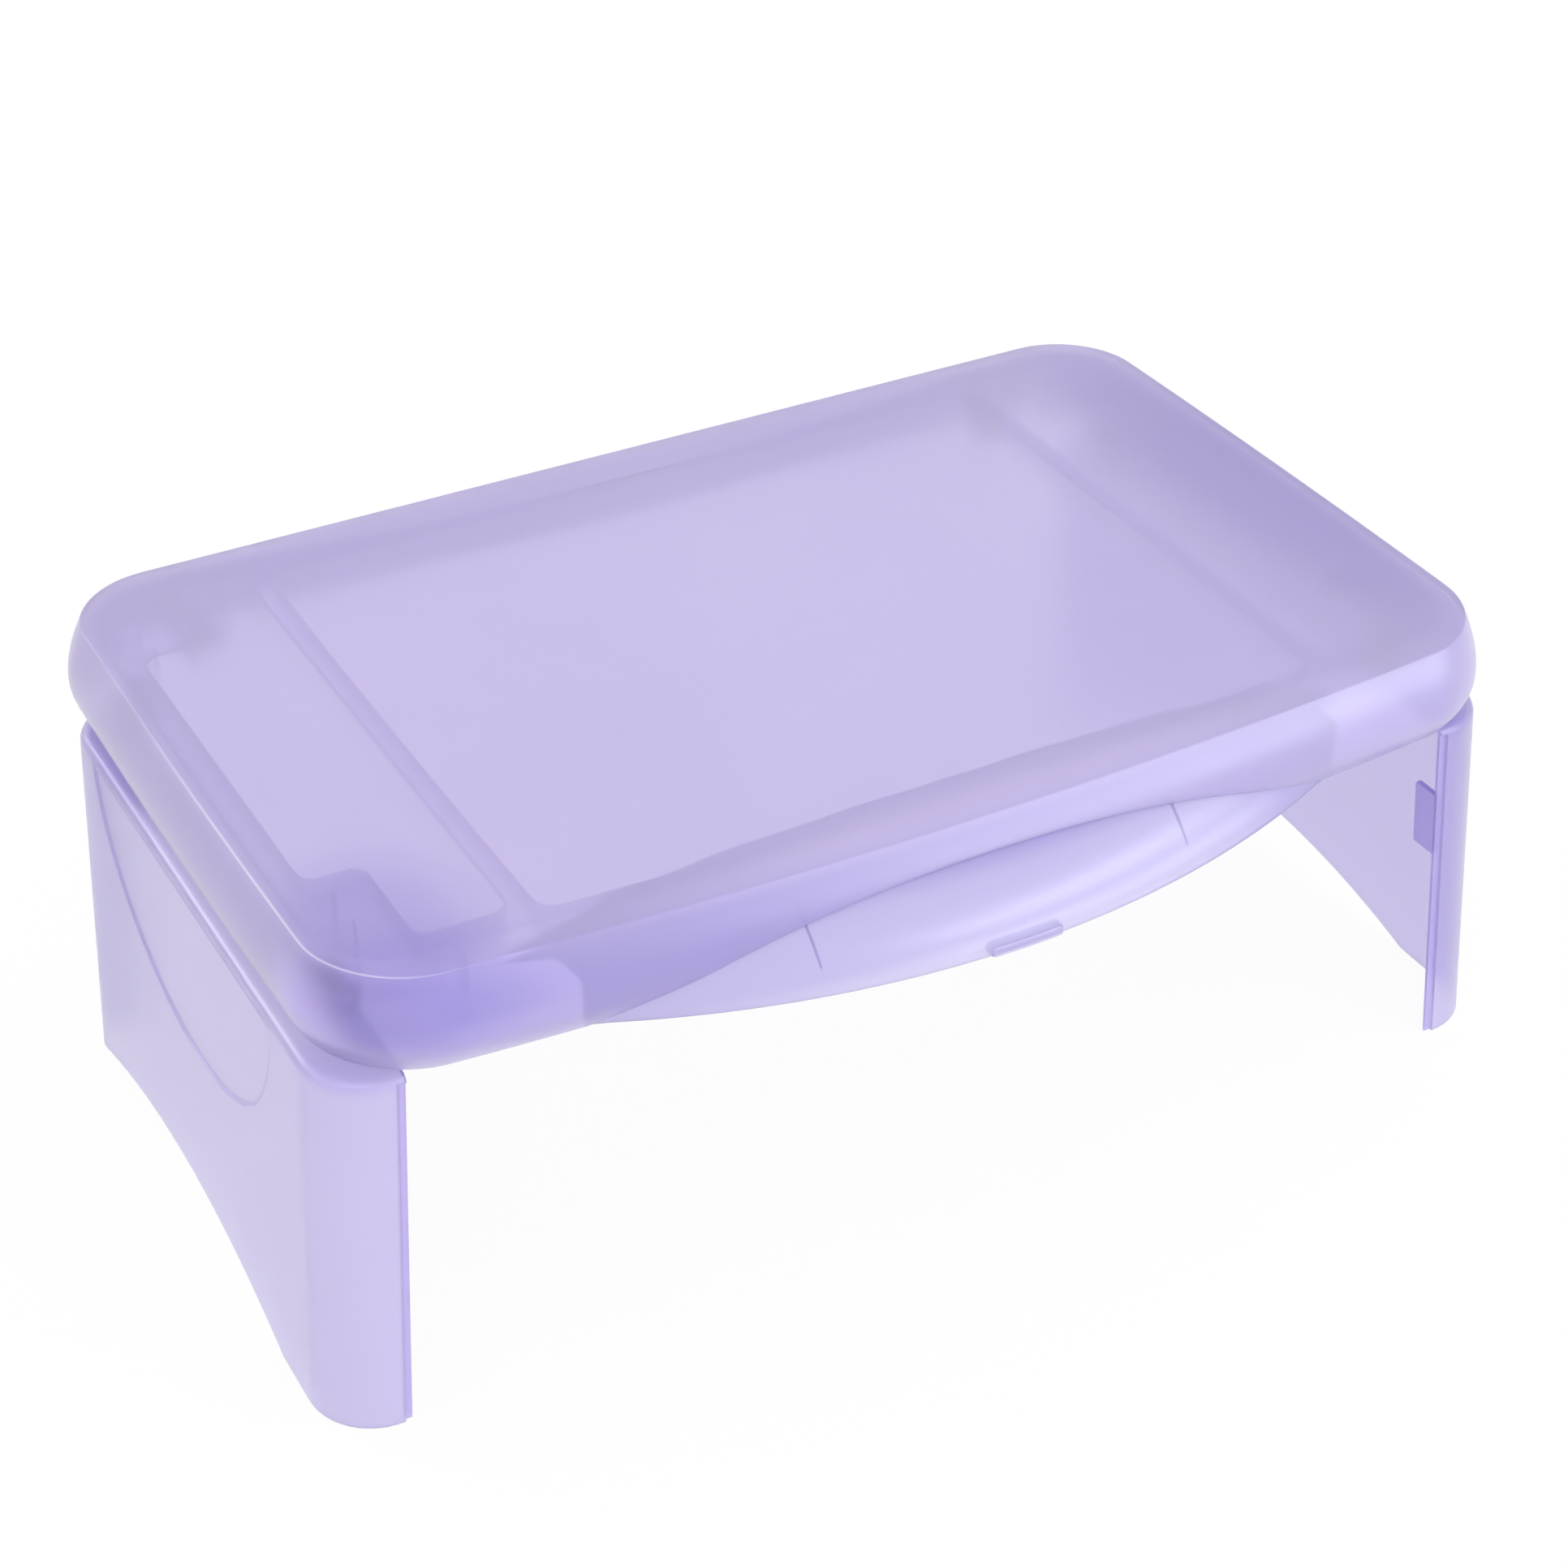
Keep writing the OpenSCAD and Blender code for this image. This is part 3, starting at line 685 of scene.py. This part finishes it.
def add_lid_ears(bm, x):
    """Two ears that hold a lid pin behind the tray's rear wall."""
    y, z, r = LID_PIN_Y, LID_PIN_Z, LID_EYE_R
    top, back = RIM_Z - TRAY_WALL * ROOT, TRAY_REAR - EAR_INSET
    round_pin = arc(y, z, r, 180, 270, ARC_STEPS) + arc(y, z, r, 270, 355, ARC_STEPS)[1:]
    shape = [(y - r, top)] + round_pin + [(back, z), (back, top)]
    for start in EAR_PLACES:
        add_plate(bm, [shape, bore_loop(y, z, PIN_R)], lambda u, v, w: (x + start + w, u, v), EAR_W)


# ---------------------------------------------------------------- chin

def chin_point(x, z, grow):
    """The chin's shell, kept in front of the room that a folded leg needs."""
    y = chin_front(x, z, grow)
    y = -TRAY_FRONT + CHIN_TUCK if y is None else y
    if z < UNDER_Z + POCKET_H and POCKET_START < abs(x) < POCKET_END + 2 * POCKET_STEP:
        y = min(y, POCKET_Y - TRAY_WALL - grow)
    return (x, y, z)


def chin_side(x, low, grow):
    """One side of the chin's shell at x, from its bottom edge up to the crease."""
    high, deep = CHIN_H + grow, CHIN_DEEP + grow
    share = min(1, max(0, sag(x, CHIN_SWEEP + grow) / deep))
    top = max(CHIN_Z + high * (1 - share ** CHIN_ROUND) ** (1 / CHIN_ROUND), low + CHIN_LEAST)
    start = low + CHIN_EDGE_R
    return [chin_point(x, start + (top - start) * sin(pi / 2 * k / CHIN_ROWS), grow)
            for k in range(CHIN_ROWS + 1)]


def build_chin(material):
    """The bulging shell before the tray, with two low ribs inside."""
    bm = bmesh.new()
    half = CHIN_ENDS * sqrt(2 * CHIN_SWEEP * CHIN_DEEP - CHIN_DEEP ** 2)
    places = [half * sin(pi / 2 * (2 * n / CHIN_COLUMNS - 1)) for n in range(CHIN_COLUMNS + 1)]
    places += [side * (POCKET_END + step) for side in (-1, 1) for step in (-POCKET_STEP, POCKET_STEP)]
    rings = []
    for x in sorted(places):
        low = CHIN_Z if abs(x) < POCKET_END else UNDER_Z + CHIN_TUCK
        outer, inner = chin_side(x, low, 0), chin_side(x, low, -TRAY_WALL)
        start, way = outer[0][1], inner[0][1] - outer[0][1]
        edge = [(x, start + way * t, low + CHIN_EDGE_R * (1 - sin(pi * t)) ** 2) for t in CHIN_EDGE_SHARES]
        rings.append(add_ring(bm, outer[::-1] + edge + inner))
    join_rings(bm, rings)
    for end in (0, -1):
        fill(bm, rings[end], normal=(1, 0, 0))
    for side in (-1, 1):
        add_rib(bm, side * RIB_X)
    return finish_piece("chin_shell", bm, material, "tray")


def add_rib(bm, x):
    """A low rib up the inside of the chin's shell."""
    low, top = CHIN_Z + RIB_FOOT, CHIN_Z + CHIN_H - RIB_HEAD
    heights = [low + (top - low) * k / RIB_STEPS for k in range(RIB_STEPS + 1)]
    front = [(chin_front(x, z, RIB_BITE - TRAY_WALL), z) for z in heights]
    back = [(y + RIB_D * sin(pi * k / RIB_STEPS) ** 0.5 + TRIM_EDGE, z) for k, (y, z) in enumerate(front)]
    add_plate(bm, [front[::-1] + back], lambda u, v, w: (x - RIB_T / 2 + w, u, v), RIB_T, TRIM_EDGE)


def build_grip_bar(material):
    """A bar of soft plastic clipped over the chin's bottom edge."""
    low, high = node_box("grip_bar")
    length = high[0] - low[0]
    straight = length - 2 * GRIP_DRAW_LEN
    stations = ([0, GRIP_END] + [GRIP_DRAW_LEN + straight * k / GRIP_STEPS for k in range(GRIP_STEPS + 1)]
                + [length - GRIP_END, length])
    bm = bmesh.new()
    rings = []
    for s in stations:
        x = s - length / 2
        draw = GRIP_DRAW * (1 - min(1, min(s, length - s) / GRIP_DRAW_LEN)) ** 2
        chin_y = -CHIN_TIP + sag(x)
        front, back = chin_y - GRIP_SKIN + draw, chin_y + TRAY_WALL + GRIP_DEEP - draw
        bottom, top = CHIN_Z - GRIP_SKIN + draw, high[2] - draw
        corners = [(front, bottom), (back, bottom), (back, top), (front + GRIP_LEAN, top)]
        rings.append(add_ring(bm, [(x, v, w) for v, w in soften(corners, GRIP_R)]))
    join_rings(bm, rings)
    for end in (0, -1):
        fill(bm, rings[end], normal=(1, 0, 0))
    return finish_piece("grip_bar_soft", bm, material, "tray", ("grip_bar",))


# ---------------------------------------------------------------- legs

def leaned(p, z):
    """A point of a leg's plan carried down to a height, outward and forward."""
    k = LEG_TOP - z
    return (p[0] + k * tan(LEG_SPLAY), p[1] - k * tan(LEG_RAKE), z)


def arch_z(y):
    """The height of the arch over a place y, nought under a foot."""
    reach = ARCH_R ** 2 - (y - ARCH_MID) ** 2
    return max(0.0, ARCH_H - ARCH_R + sqrt(max(0, reach)))


def lip_plan(outside):
    """A flange's lip from its edge to its step, as places in x and how far each is set back."""
    step, ease = (LIP_STEP, LIP_EASE) if outside else (0, 0)
    root = LEG_LIP_X + LIP_W
    return [(LEG_LIP_X, step), (root - LIP_LAND, step), (root, step - ease), (root + LIP_RISE, 0)]


def leg_plan(inset):
    """The plan of a leg's skin from its front lip round to its rear lip."""
    r, x = LEG_R - inset, LEG_X - inset
    front, rear = LEG_FRONT - inset, LEG_REAR - inset
    lip = lip_plan(inset == 0)
    return ([(u, back - front) for u, back in lip]
            + arc(x - r, r - front, r, 270, 360, LEG_TURNS)
            + between((x, r - front), (x, rear - r), LEG_FACE_STEPS)
            + arc(x - r, rear - r, r, 0, 90, LEG_TURNS)
            + [(u, rear - back) for u, back in reversed(lip)])


def column_foot(p):
    """The height at which a column of the leg's skin meets the arch or the floor."""
    z = 0.0
    for _ in range(FOOT_ROUNDS):
        z = arch_z(leaned(p, z)[1])
    return z


def skin_foot(p, inset):
    """The height at which a skin's own column starts, a wall higher inside the arch."""
    ground = column_foot(p)
    return ground + (LEG_WALL if inset and ground > ARCH_LEAST else FOOT_EDGE)


def moon_side(reach, power, way):
    """One half of the half-moon's edge as (y, drop), from its lowest point up."""
    curve = []
    for k in range(MOON_STEPS + 1):
        a = pi / 2 * MOON_ENDS * k / MOON_STEPS
        drop = MOON_DEEP * cos(a) ** (2 / power)
        if drop > MOON_TOP:
            curve.append((MOON_MID + way * reach * sin(a) ** (2 / power), drop))
    end = MOON_MID + way * reach * (1 - (MOON_TOP / MOON_DEEP) ** power) ** (1 / power)
    return curve + [(end, MOON_TOP)]


def moon_edge():
    """The half-moon on the plan of the outer face: straight above, deep below."""
    rear, front = moon_side(*MOON_REAR), moon_side(*MOON_FRONT)
    return front[::-1] + rear[1:] + between(rear[-1], front[-1], MOON_TOP_STEPS)


def moon_loop(inset, depth):
    """A ring of the half-moon, in from its edge by an inset and below the face by a depth."""
    flat = offset_loop([(y, -drop) for y, drop in moon_edge()], inset)
    return [(LEG_X - depth - z * tan(LEG_SPLAY), y, LEG_TOP + z) for y, z in flat]


def leg_skin(bm, inset, side, with_moon):
    """One skin of a leg with its top; returns its bottom loop and the rest of its boundary."""
    wall_top = LEG_TOP - LEG_EDGE_R
    edge_r = LEG_EDGE_R - inset

    def vert(q):
        """A vertex on this leg's side of the desk."""
        return bm.verts.new(place((side * q[0], q[1], q[2])))

    verts = []
    for j, p in enumerate(leg_plan(inset)):
        foot = skin_foot(p, inset)
        in_flat = FLAT_START < j < FLAT_END
        verts.append([None if in_flat and 0 < k < LEG_ROWS
                      else vert(leaned(p, foot + (wall_top - foot) * k / LEG_ROWS))
                      for k in range(LEG_ROWS + 1)])
    last = len(verts) - 1
    for j in range(last):
        if FLAT_START <= j < FLAT_END:
            continue
        on_lip = j < LIP_FACES or j >= last - LIP_FACES
        for k in range(LEG_ROWS):
            corners = (verts[j][k], verts[j + 1][k], verts[j + 1][k + 1], verts[j][k + 1])
            bm.faces.new(corners).material_index = int(on_lip)
    fill_leg_face(bm, verts, side, vert if with_moon else None)

    rings = [[column[-1] for column in verts]]
    for a in quarter_bend(BEND_STEPS):
        z = wall_top + edge_r * sin(a)
        rings.append([vert(leaned(p, z)) for p in leg_plan(inset + edge_r * (1 - cos(a)))])
    rings.append([vert(leaned(p, wall_top + edge_r)) for p in leg_plan(inset + edge_r + FLAT_BAND)])
    join_rings(bm, rings, closed=False)
    ends = [tuple(v.co) for v in (rings[-1][-1], rings[-1][0])]
    top_edge = [bm.verts.new(Vector(q)) for q in between(*ends, LEG_TOP_STEPS)]
    fill(bm, rings[-1] + top_edge)

    bottom = [column[0] for column in verts]
    rear_edge = verts[-1] + [ring[-1] for ring in rings[1:]]
    front_edge = [ring[0] for ring in rings[:0:-1]] + verts[0][::-1]
    return bottom, rear_edge + top_edge + front_edge


def fill_leg_face(bm, verts, side, moon_vert):
    """The flat outer face between the columns of its ends, with the half-moon if a moon_vert is given."""
    flat = ([column[0] for column in verts[FLAT_START:FLAT_END]] + verts[FLAT_END][:-1]
            + [verts[j][-1] for j in range(FLAT_END, FLAT_START, -1)] + verts[FLAT_START][:0:-1])
    normal = (side * cos(LEG_SPLAY), 0, sin(LEG_SPLAY))
    if not moon_vert:
        fill(bm, flat, normal=normal)
        return
    moons = [[moon_vert(q) for q in moon_loop(inset, depth)] for inset, depth in MOON_GROOVE]
    join_rings(bm, moons[:2])
    join_rings(bm, moons[1:5], material_index=1)
    join_rings(bm, moons[4:])
    fill(bm, flat, moons[0], normal=normal)
    fill(bm, moons[-1], normal=normal)


def build_leg(name, side, material, lip_material, node):
    """A leg's two skins, joined at its feet, arch, flanges and top, with an eye for each pin."""
    bm = bmesh.new()
    outer, outer_rest = leg_skin(bm, 0, side, True)
    inner, inner_rest = leg_skin(bm, LEG_WALL, side, False)
    ground = [column_foot(p) for p in leg_plan(0)]
    feet = [outer]
    for share in FOOT_SHARES:
        drop = FOOT_EDGE * (1 - sin(pi * share)) ** 2
        ring = []
        for a, b, z in zip(outer, inner, ground):
            x, y = a.co.x + (b.co.x - a.co.x) * share, a.co.y + (b.co.y - a.co.y) * share
            ring.append(bm.verts.new((x, y, (z + drop) * MM)))
        feet.append(ring)
    join_rings(bm, feet + [inner], closed=False)
    join_rings(bm, [outer_rest, inner_rest], closed=False)
    bmesh.ops.holes_fill(bm, edges=[e for e in bm.edges if e.is_boundary], sides=8)
    for y in (HINGE_FRONT, HINGE_REAR):
        add_leg_eye(bm, side * LEG_PIN_X, y)
    return finish_piece(name, bm, material, node, (node,), second=lip_material)


def add_leg_eye(bm, x, y):
    """An eye round a leg's pin, standing on the leg's top."""
    z, r = LEG_PIN_Z, EYE_R
    foot = LEG_TOP - LEG_WALL * ROOT
    shape = [(x + r, foot)] + arc(x, z, r, 0, 180, EYE_STEPS) + [(x - r, foot)]
    add_plate(bm, [shape, bore_loop(x, z, PIN_R + PIN_FIT)],
              lambda u, v, w: (u, y - EYE_W / 2 + w, v), EYE_W)


def build_catch(material):
    """The thick plate behind the right leg's front flange."""
    left, flange = LEG_LIP_X, LEG_WALL - LEG_FRONT
    front, right, back = flange + CATCH_GAP, left + CATCH_T, flange + CATCH_W
    plan = soften([(left, front), (right, front), (right, back), (left, back)], CATCH_R)
    mid_x, mid_y = (left + right) / 2, (flange + back) / 2
    draw_x, draw_y = CATCH_DRAW[0] / (CATCH_T / 2), CATCH_DRAW[1] / (CATCH_W / 2)
    low, high = catch_low[2], catch_high[2]
    bm = bmesh.new()
    rings = []
    for z, drawn in ((low, 1), (low + CATCH_R, 0), (high - CATCH_R, 0), (high, 1)):
        in_x, in_y = draw_x * drawn, draw_y * drawn
        rings.append(add_ring(bm, [leaned((x + (mid_x - x) * in_x, y + (mid_y - y) * in_y), z)
                                   for x, y in plan]))
    join_rings(bm, rings)
    for end in (0, -1):
        fill(bm, rings[end])
    return finish_piece("catch_plate", bm, material, "right_leg", ("right_leg_catch",))


# ---------------------------------------------------------------- materials

def srgb(r, g, b):
    """A colour as it is written in a picture, turned into the linear one that a shader takes."""
    def linear(c):
        """One channel."""
        c = c / 255
        return c / 12.92 if c <= 0.04045 else ((c + 0.055) / 1.055) ** 2.4
    return (linear(r), linear(g), linear(b), 1)


# Painted light and shade: soft spots of colour mixed over a surface's own colour, full near a centre and
# fading over a reach.
PaintedLight = namedtuple("PaintedLight", "centre reach colour strength")

# Colours of painted shade, painted light and painted highlight.
SHADE_PAINT = srgb(158, 144, 216)
SEAM_SHADE_PAINT = srgb(142, 126, 212)
FRONT_LIGHT_PAINT = srgb(230, 218, 250)
LIFT_LIGHT_PAINT = srgb(222, 208, 255)
HIGHLIGHT_PAINT = srgb(250, 248, 255)
LEG_SHADE_PAINT = srgb(190, 178, 236)

LID_PAINTED_LIGHT = (
    PaintedLight((-204, -136, 166), (66, 44, 24), SHADE_PAINT, 0.8),  # painted shade on the front left corner
    PaintedLight((-120, -142, 160), (150, 24, 34), SHADE_PAINT, 0.4),  # painted shade on the left half of the front skirt
    PaintedLight((-196, -104, TOP_H), (44, 52, 14), SHADE_PAINT, 0.45),  # painted shade on the top over the front left corner
    PaintedLight((HALF_LEN - 16, 0, TOP_H), (44, 170, 16), SHADE_PAINT, 0.4),  # painted shade on the top along the right end
    PaintedLight((-HALF_LEN - 2, -106, SKIRT_Z + 15), (18, 26, 20), LIFT_LIGHT_PAINT, 0.9),  # painted light on the left skirt near the front, lifting the grey shade of the tray's wall end behind
    PaintedLight((-HALF_LEN - 2, -36, SKIRT_Z - 1), (46, 124, 8), SEAM_SHADE_PAINT, 1.0),  # painted shade along the bottom of the left skirt, for the gap above the leg, with the deeper tone of the skirt's edge
    PaintedLight((0, -136, TOP_H), (190, 16, 5), FRONT_LIGHT_PAINT, 0.8),  # painted light along the front of the top, lifting the shade of the wall beneath
    PaintedLight((-HALF_LEN, -70, TOP_H - 0.5), (60, 140, 0.49), HIGHLIGHT_PAINT, 1.0))  # painted highlight along the left edge of the top
CHIN_PAINTED_LIGHT = (
    PaintedLight((10, -TRAY_FRONT - 24, CHIN_Z + CHIN_H - 2), (120, 30, 14), SHADE_PAINT, 0.8),  # painted shade under the crease
    PaintedLight((0, -CHIN_TIP + 8, CHIN_Z), (150, 40, 8), HIGHLIGHT_PAINT, 0.3))  # painted light along the bottom edge
LEG_PAINTED_SHADE = [PaintedLight((side * (LEG_X - 8), -LEG_FRONT + 6, LEG_TOP), (34, 40, 7), LEG_SHADE_PAINT, 0.7)
              for side in (-1, 1)]  # painted shade under the skirt, at the top of each leg's front corner


COAT_ROUGH = 0.3
GLOSS_SWING = 0.04  # how much the roughness of the plastic drifts either way
STEEL_ROUGH = (0.22, 0.38)
GRAIN_STRENGTH = 0.06
GRAIN_DEEP = 0.0002  # metres
PAINTED_LIGHT_CORE = 0.2  # the share of a painted light spot's reach within which it is full


def new_material(name):
    """A material with its node tree, its shader and the object's own coordinates."""
    material = bpy.data.materials.new(name)
    material.use_nodes = True
    tree = material.node_tree
    where = tree.nodes.new("ShaderNodeTexCoord").outputs["Object"]
    return material, tree, tree.nodes["Principled BSDF"], where


def add_noise(tree, where, scale, detail):
    """Noise of a scale and a detail; returns its values."""
    node = tree.nodes.new("ShaderNodeTexNoise")
    node.inputs["Scale"].default_value = scale
    node.inputs["Detail"].default_value = detail
    tree.links.new(where, node.inputs["Vector"])
    return node.outputs["Fac"]


def add_range(tree, value, low, high):
    """Spreads a value from nought to one over a new range."""
    node = tree.nodes.new("ShaderNodeMapRange")
    node.inputs["To Min"].default_value = low
    node.inputs["To Max"].default_value = high
    tree.links.new(value, node.inputs["Value"])
    return node


def add_vector_math(tree, operation, vector, other):
    """A vector with another one taken off, or divided by it; returns the result."""
    node = tree.nodes.new("ShaderNodeVectorMath")
    node.operation = operation
    node.inputs[1].default_value = other
    tree.links.new(vector, node.inputs[0])
    return node.outputs["Vector"]


def add_mix(tree, factor, colour):
    """A colour mixed in by a factor over what is linked to its input A."""
    node = tree.nodes.new("ShaderNodeMix")
    node.data_type = "RGBA"
    node.inputs["B"].default_value = colour
    tree.links.new(factor, node.inputs["Factor"])
    return node


def add_painted_light(tree, where, base, painted_light_spot):
    """Paints a soft spot of light or shade into the colour, in an egg-shaped space; returns the colour with
    it.
    """
    away = add_vector_math(tree, "SUBTRACT", where, place(painted_light_spot.centre))
    scaled = add_vector_math(tree, "DIVIDE", away, [r * MM for r in painted_light_spot.reach])
    length = tree.nodes.new("ShaderNodeVectorMath")
    length.operation = "LENGTH"
    tree.links.new(scaled, length.inputs[0])
    near = add_range(tree, length.outputs["Value"], 0, painted_light_spot.strength)
    near.interpolation_type = "SMOOTHSTEP"
    near.inputs["From Min"].default_value = 1
    near.inputs["From Max"].default_value = PAINTED_LIGHT_CORE
    cover = add_mix(tree, near.outputs["Result"], painted_light_spot.colour)
    tree.links.new(base, cover.inputs["A"])
    return cover.outputs["Result"]


def frosted(name, colour, deeper, transmission, rough, coat=1.0, ior=1.12, painted_light_spots=()):
    """Moulded satin plastic: fine grain in the bump, slow drifts of colour and gloss, and the spots of
    painted light and shade that it is given.
    """
    material, tree, shader, where = new_material(name)
    shader.inputs["Transmission Weight"].default_value = transmission
    shader.inputs["IOR"].default_value = ior
    shader.inputs["Coat Weight"].default_value = coat
    shader.inputs["Coat Roughness"].default_value = COAT_ROUGH
    tone = add_mix(tree, add_noise(tree, where, scale=9, detail=3), deeper)
    tone.inputs["A"].default_value = colour
    result = tone.outputs["Result"]
    for painted_light_spot in painted_light_spots:
        result = add_painted_light(tree, where, result, painted_light_spot)
    tree.links.new(result, shader.inputs["Base Color"])
    drift = add_noise(tree, where, scale=60, detail=4)
    gloss = add_range(tree, drift, rough - GLOSS_SWING, rough + GLOSS_SWING)
    tree.links.new(gloss.outputs["Result"], shader.inputs["Roughness"])
    grain = tree.nodes.new("ShaderNodeBump")
    grain.inputs["Strength"].default_value = GRAIN_STRENGTH
    grain.inputs["Distance"].default_value = GRAIN_DEEP
    tree.links.new(add_noise(tree, where, scale=1800, detail=2), grain.inputs["Height"])
    tree.links.new(grain.outputs["Normal"], shader.inputs["Normal"])
    return material


def steel(name):
    """Drawn rod: bright, with fine marks all over."""
    material, tree, shader, where = new_material(name)
    shader.inputs["Metallic"].default_value = 1
    shader.inputs["Base Color"].default_value = srgb(232, 230, 240)
    gloss = add_range(tree, add_noise(tree, where, scale=900, detail=3), *STEEL_ROUGH)
    tree.links.new(gloss.outputs["Result"], shader.inputs["Roughness"])
    return material


# ---------------------------------------------------------------- stage

# The camera of the photograph, solved from the desk's edges; places in millimetres in the frame.
CAMERA_AT = Vector((-463.65, -818.83, 755.26))
CAMERA_AIM = Vector((-9.16, 5.12, 120))
CAMERA_ROLL = radians(0.132)
CAMERA_LENS = 72.01
CAMERA_SHIFT = (0.0121, -0.0124)

# Lamps: name, place in metres, width, height, power in watts and colour.
WHITE = (1, 1, 1)
COOL = (0.88, 0.97, 1)
LAMP_AIM = Vector((0, 0, 0.1))
LAMPS = (("key", (-1.2, -1.0, 2.2), 1.4, 1.4, 9, WHITE),
         ("side", (1.06, -1.4, 1.1), 1.3, 0.3, 11, COOL),
         ("low side", (1.1, -1.5, 0.34), 1.5, 0.4, 9, COOL),
         ("rear", (-1.1, 1.9, 1.3), 0.8, 0.8, 8, WHITE))

FLOOR_HALF = 4
FLOOR_GREY = (0.9, 0.9, 0.9, 1)
FLOOR_GLOW = 0.93  # how far the camera sees the floor as pure white; the rest is the lit floor


def aim(thing, at, target, roll=0.0):
    """Puts a lamp or a camera at a place, looking at a target."""
    level = (target - at).to_track_quat("-Z", "Y")
    thing.location = at
    thing.rotation_euler = (level @ Quaternion((0, 0, 1), roll)).to_euler()
    bpy.context.scene.collection.objects.link(thing)


def set_camera():
    """The photograph's camera."""
    lens = bpy.data.cameras.new("camera")
    lens.lens = CAMERA_LENS
    lens.sensor_width = 36
    lens.shift_x, lens.shift_y = CAMERA_SHIFT
    camera = bpy.data.objects.new("camera", lens)
    aim(camera, CAMERA_AT * MM, CAMERA_AIM * MM, CAMERA_ROLL)
    bpy.context.scene.camera = camera


def add_math(tree, operation, value, other):
    """A clamped sum or product of a value with another value or with a number."""
    node = tree.nodes.new("ShaderNodeMath")
    node.operation = operation
    node.use_clamp = True
    tree.links.new(value, node.inputs[0])
    if isinstance(other, float):
        node.inputs[1].default_value = other
    else:
        tree.links.new(other, node.inputs[1])
    return node.outputs[0]


def floor_material():
    """A matt white that the camera, also through plastic, sees as almost pure white."""
    material = bpy.data.materials.new("floor_white")
    material.use_nodes = True
    tree = material.node_tree
    tree.nodes.clear()
    result = tree.nodes.new("ShaderNodeOutputMaterial")
    matt = tree.nodes.new("ShaderNodeBsdfDiffuse")
    matt.inputs["Color"].default_value = FLOOR_GREY
    glow = tree.nodes.new("ShaderNodeEmission")
    mix = tree.nodes.new("ShaderNodeMixShader")
    ray = tree.nodes.new("ShaderNodeLightPath")
    seen = ray.outputs["Is Camera Ray"]
    for kind in ("Is Transmission Ray", "Is Glossy Ray"):
        seen = add_math(tree, "ADD", seen, ray.outputs[kind])
    tree.links.new(add_math(tree, "MULTIPLY", seen, FLOOR_GLOW), mix.inputs["Fac"])
    tree.links.new(matt.outputs[0], mix.inputs[1])
    tree.links.new(glow.outputs[0], mix.inputs[2])
    tree.links.new(mix.outputs[0], result.inputs["Surface"])
    return material


def set_floor():
    """A white sweep with soft contact shadows."""
    bm = bmesh.new()
    bmesh.ops.create_grid(bm, x_segments=1, y_segments=1, size=FLOOR_HALF)
    mesh = bpy.data.meshes.new("floor")
    bm.to_mesh(mesh)
    bm.free()
    mesh.materials.append(floor_material())
    floor = bpy.data.objects.new("floor", mesh)
    bpy.context.scene.collection.objects.link(floor)


def set_lights():
    """An even white surround and four soft lamps."""
    world = bpy.data.worlds.new("world")
    bpy.context.scene.world = world
    world.use_nodes = True
    sky = world.node_tree.nodes["Background"]
    sky.inputs["Color"].default_value = (1, 1, 1, 1)
    sky.inputs["Strength"].default_value = 1.0
    for name, at, wide, high, power, colour in LAMPS:
        light = bpy.data.lights.new(name, "AREA")
        light.shape = "RECTANGLE"
        light.size = wide
        light.size_y = high
        light.color = colour
        light.energy = power
        aim(bpy.data.objects.new(name, light), Vector(at), LAMP_AIM)


# ---------------------------------------------------------------- the desk

def build_desk():
    """Every visible piece in its own plastic, and the steel pins as the frame has them."""
    lid = frosted("frosted_lid", srgb(209, 198, 234), srgb(202, 191, 231), transmission=0.62, rough=0.36,
                  painted_light_spots=LID_PAINTED_LIGHT)
    rims = frosted("frosted_rims", srgb(208, 192, 246), srgb(203, 186, 244), transmission=0.8, rough=0.3,
                   coat=0.0)
    tray = frosted("frosted_tray", srgb(248, 246, 255), srgb(245, 242, 254), transmission=0.95, rough=0.32,
                   coat=0.0, ior=1.06)
    legs = frosted("frosted_legs", srgb(214, 205, 241), srgb(206, 197, 237), transmission=0.87, rough=0.42,
                   painted_light_spots=LEG_PAINTED_SHADE)
    chin = frosted("frosted_chin", srgb(201, 193, 231), srgb(194, 185, 228), transmission=0.74, rough=0.38,
                   painted_light_spots=CHIN_PAINTED_LIGHT)
    leg_edges = frosted("leg_edges", srgb(200, 187, 234), srgb(193, 179, 230), transmission=0.6, rough=0.45)
    thick = frosted("thick_lavender", srgb(202, 187, 244), srgb(194, 178, 240), transmission=0.5, rough=0.45)
    grip = frosted("grip_lavender", srgb(231, 225, 253), srgb(225, 218, 251), transmission=0.8, rough=0.42)
    rod = steel("pin_steel")

    build_lid(lid)
    build_tray(tray, rims)
    build_chin(chin)
    build_grip_bar(grip)
    build_leg("right_leg_shell", 1, legs, leg_edges, "right_leg")
    build_leg("left_leg_shell", -1, legs, leg_edges, "left_leg")
    build_catch(thick)
    for node_name, node in frame["nodes"].items():
        if node_name.endswith("pin"):
            node.data.materials.clear()
            node.data.materials.append(rod)


set_camera()
set_floor()
set_lights()
bpy.context.scene.view_settings.view_transform = "Standard"
build_desk()
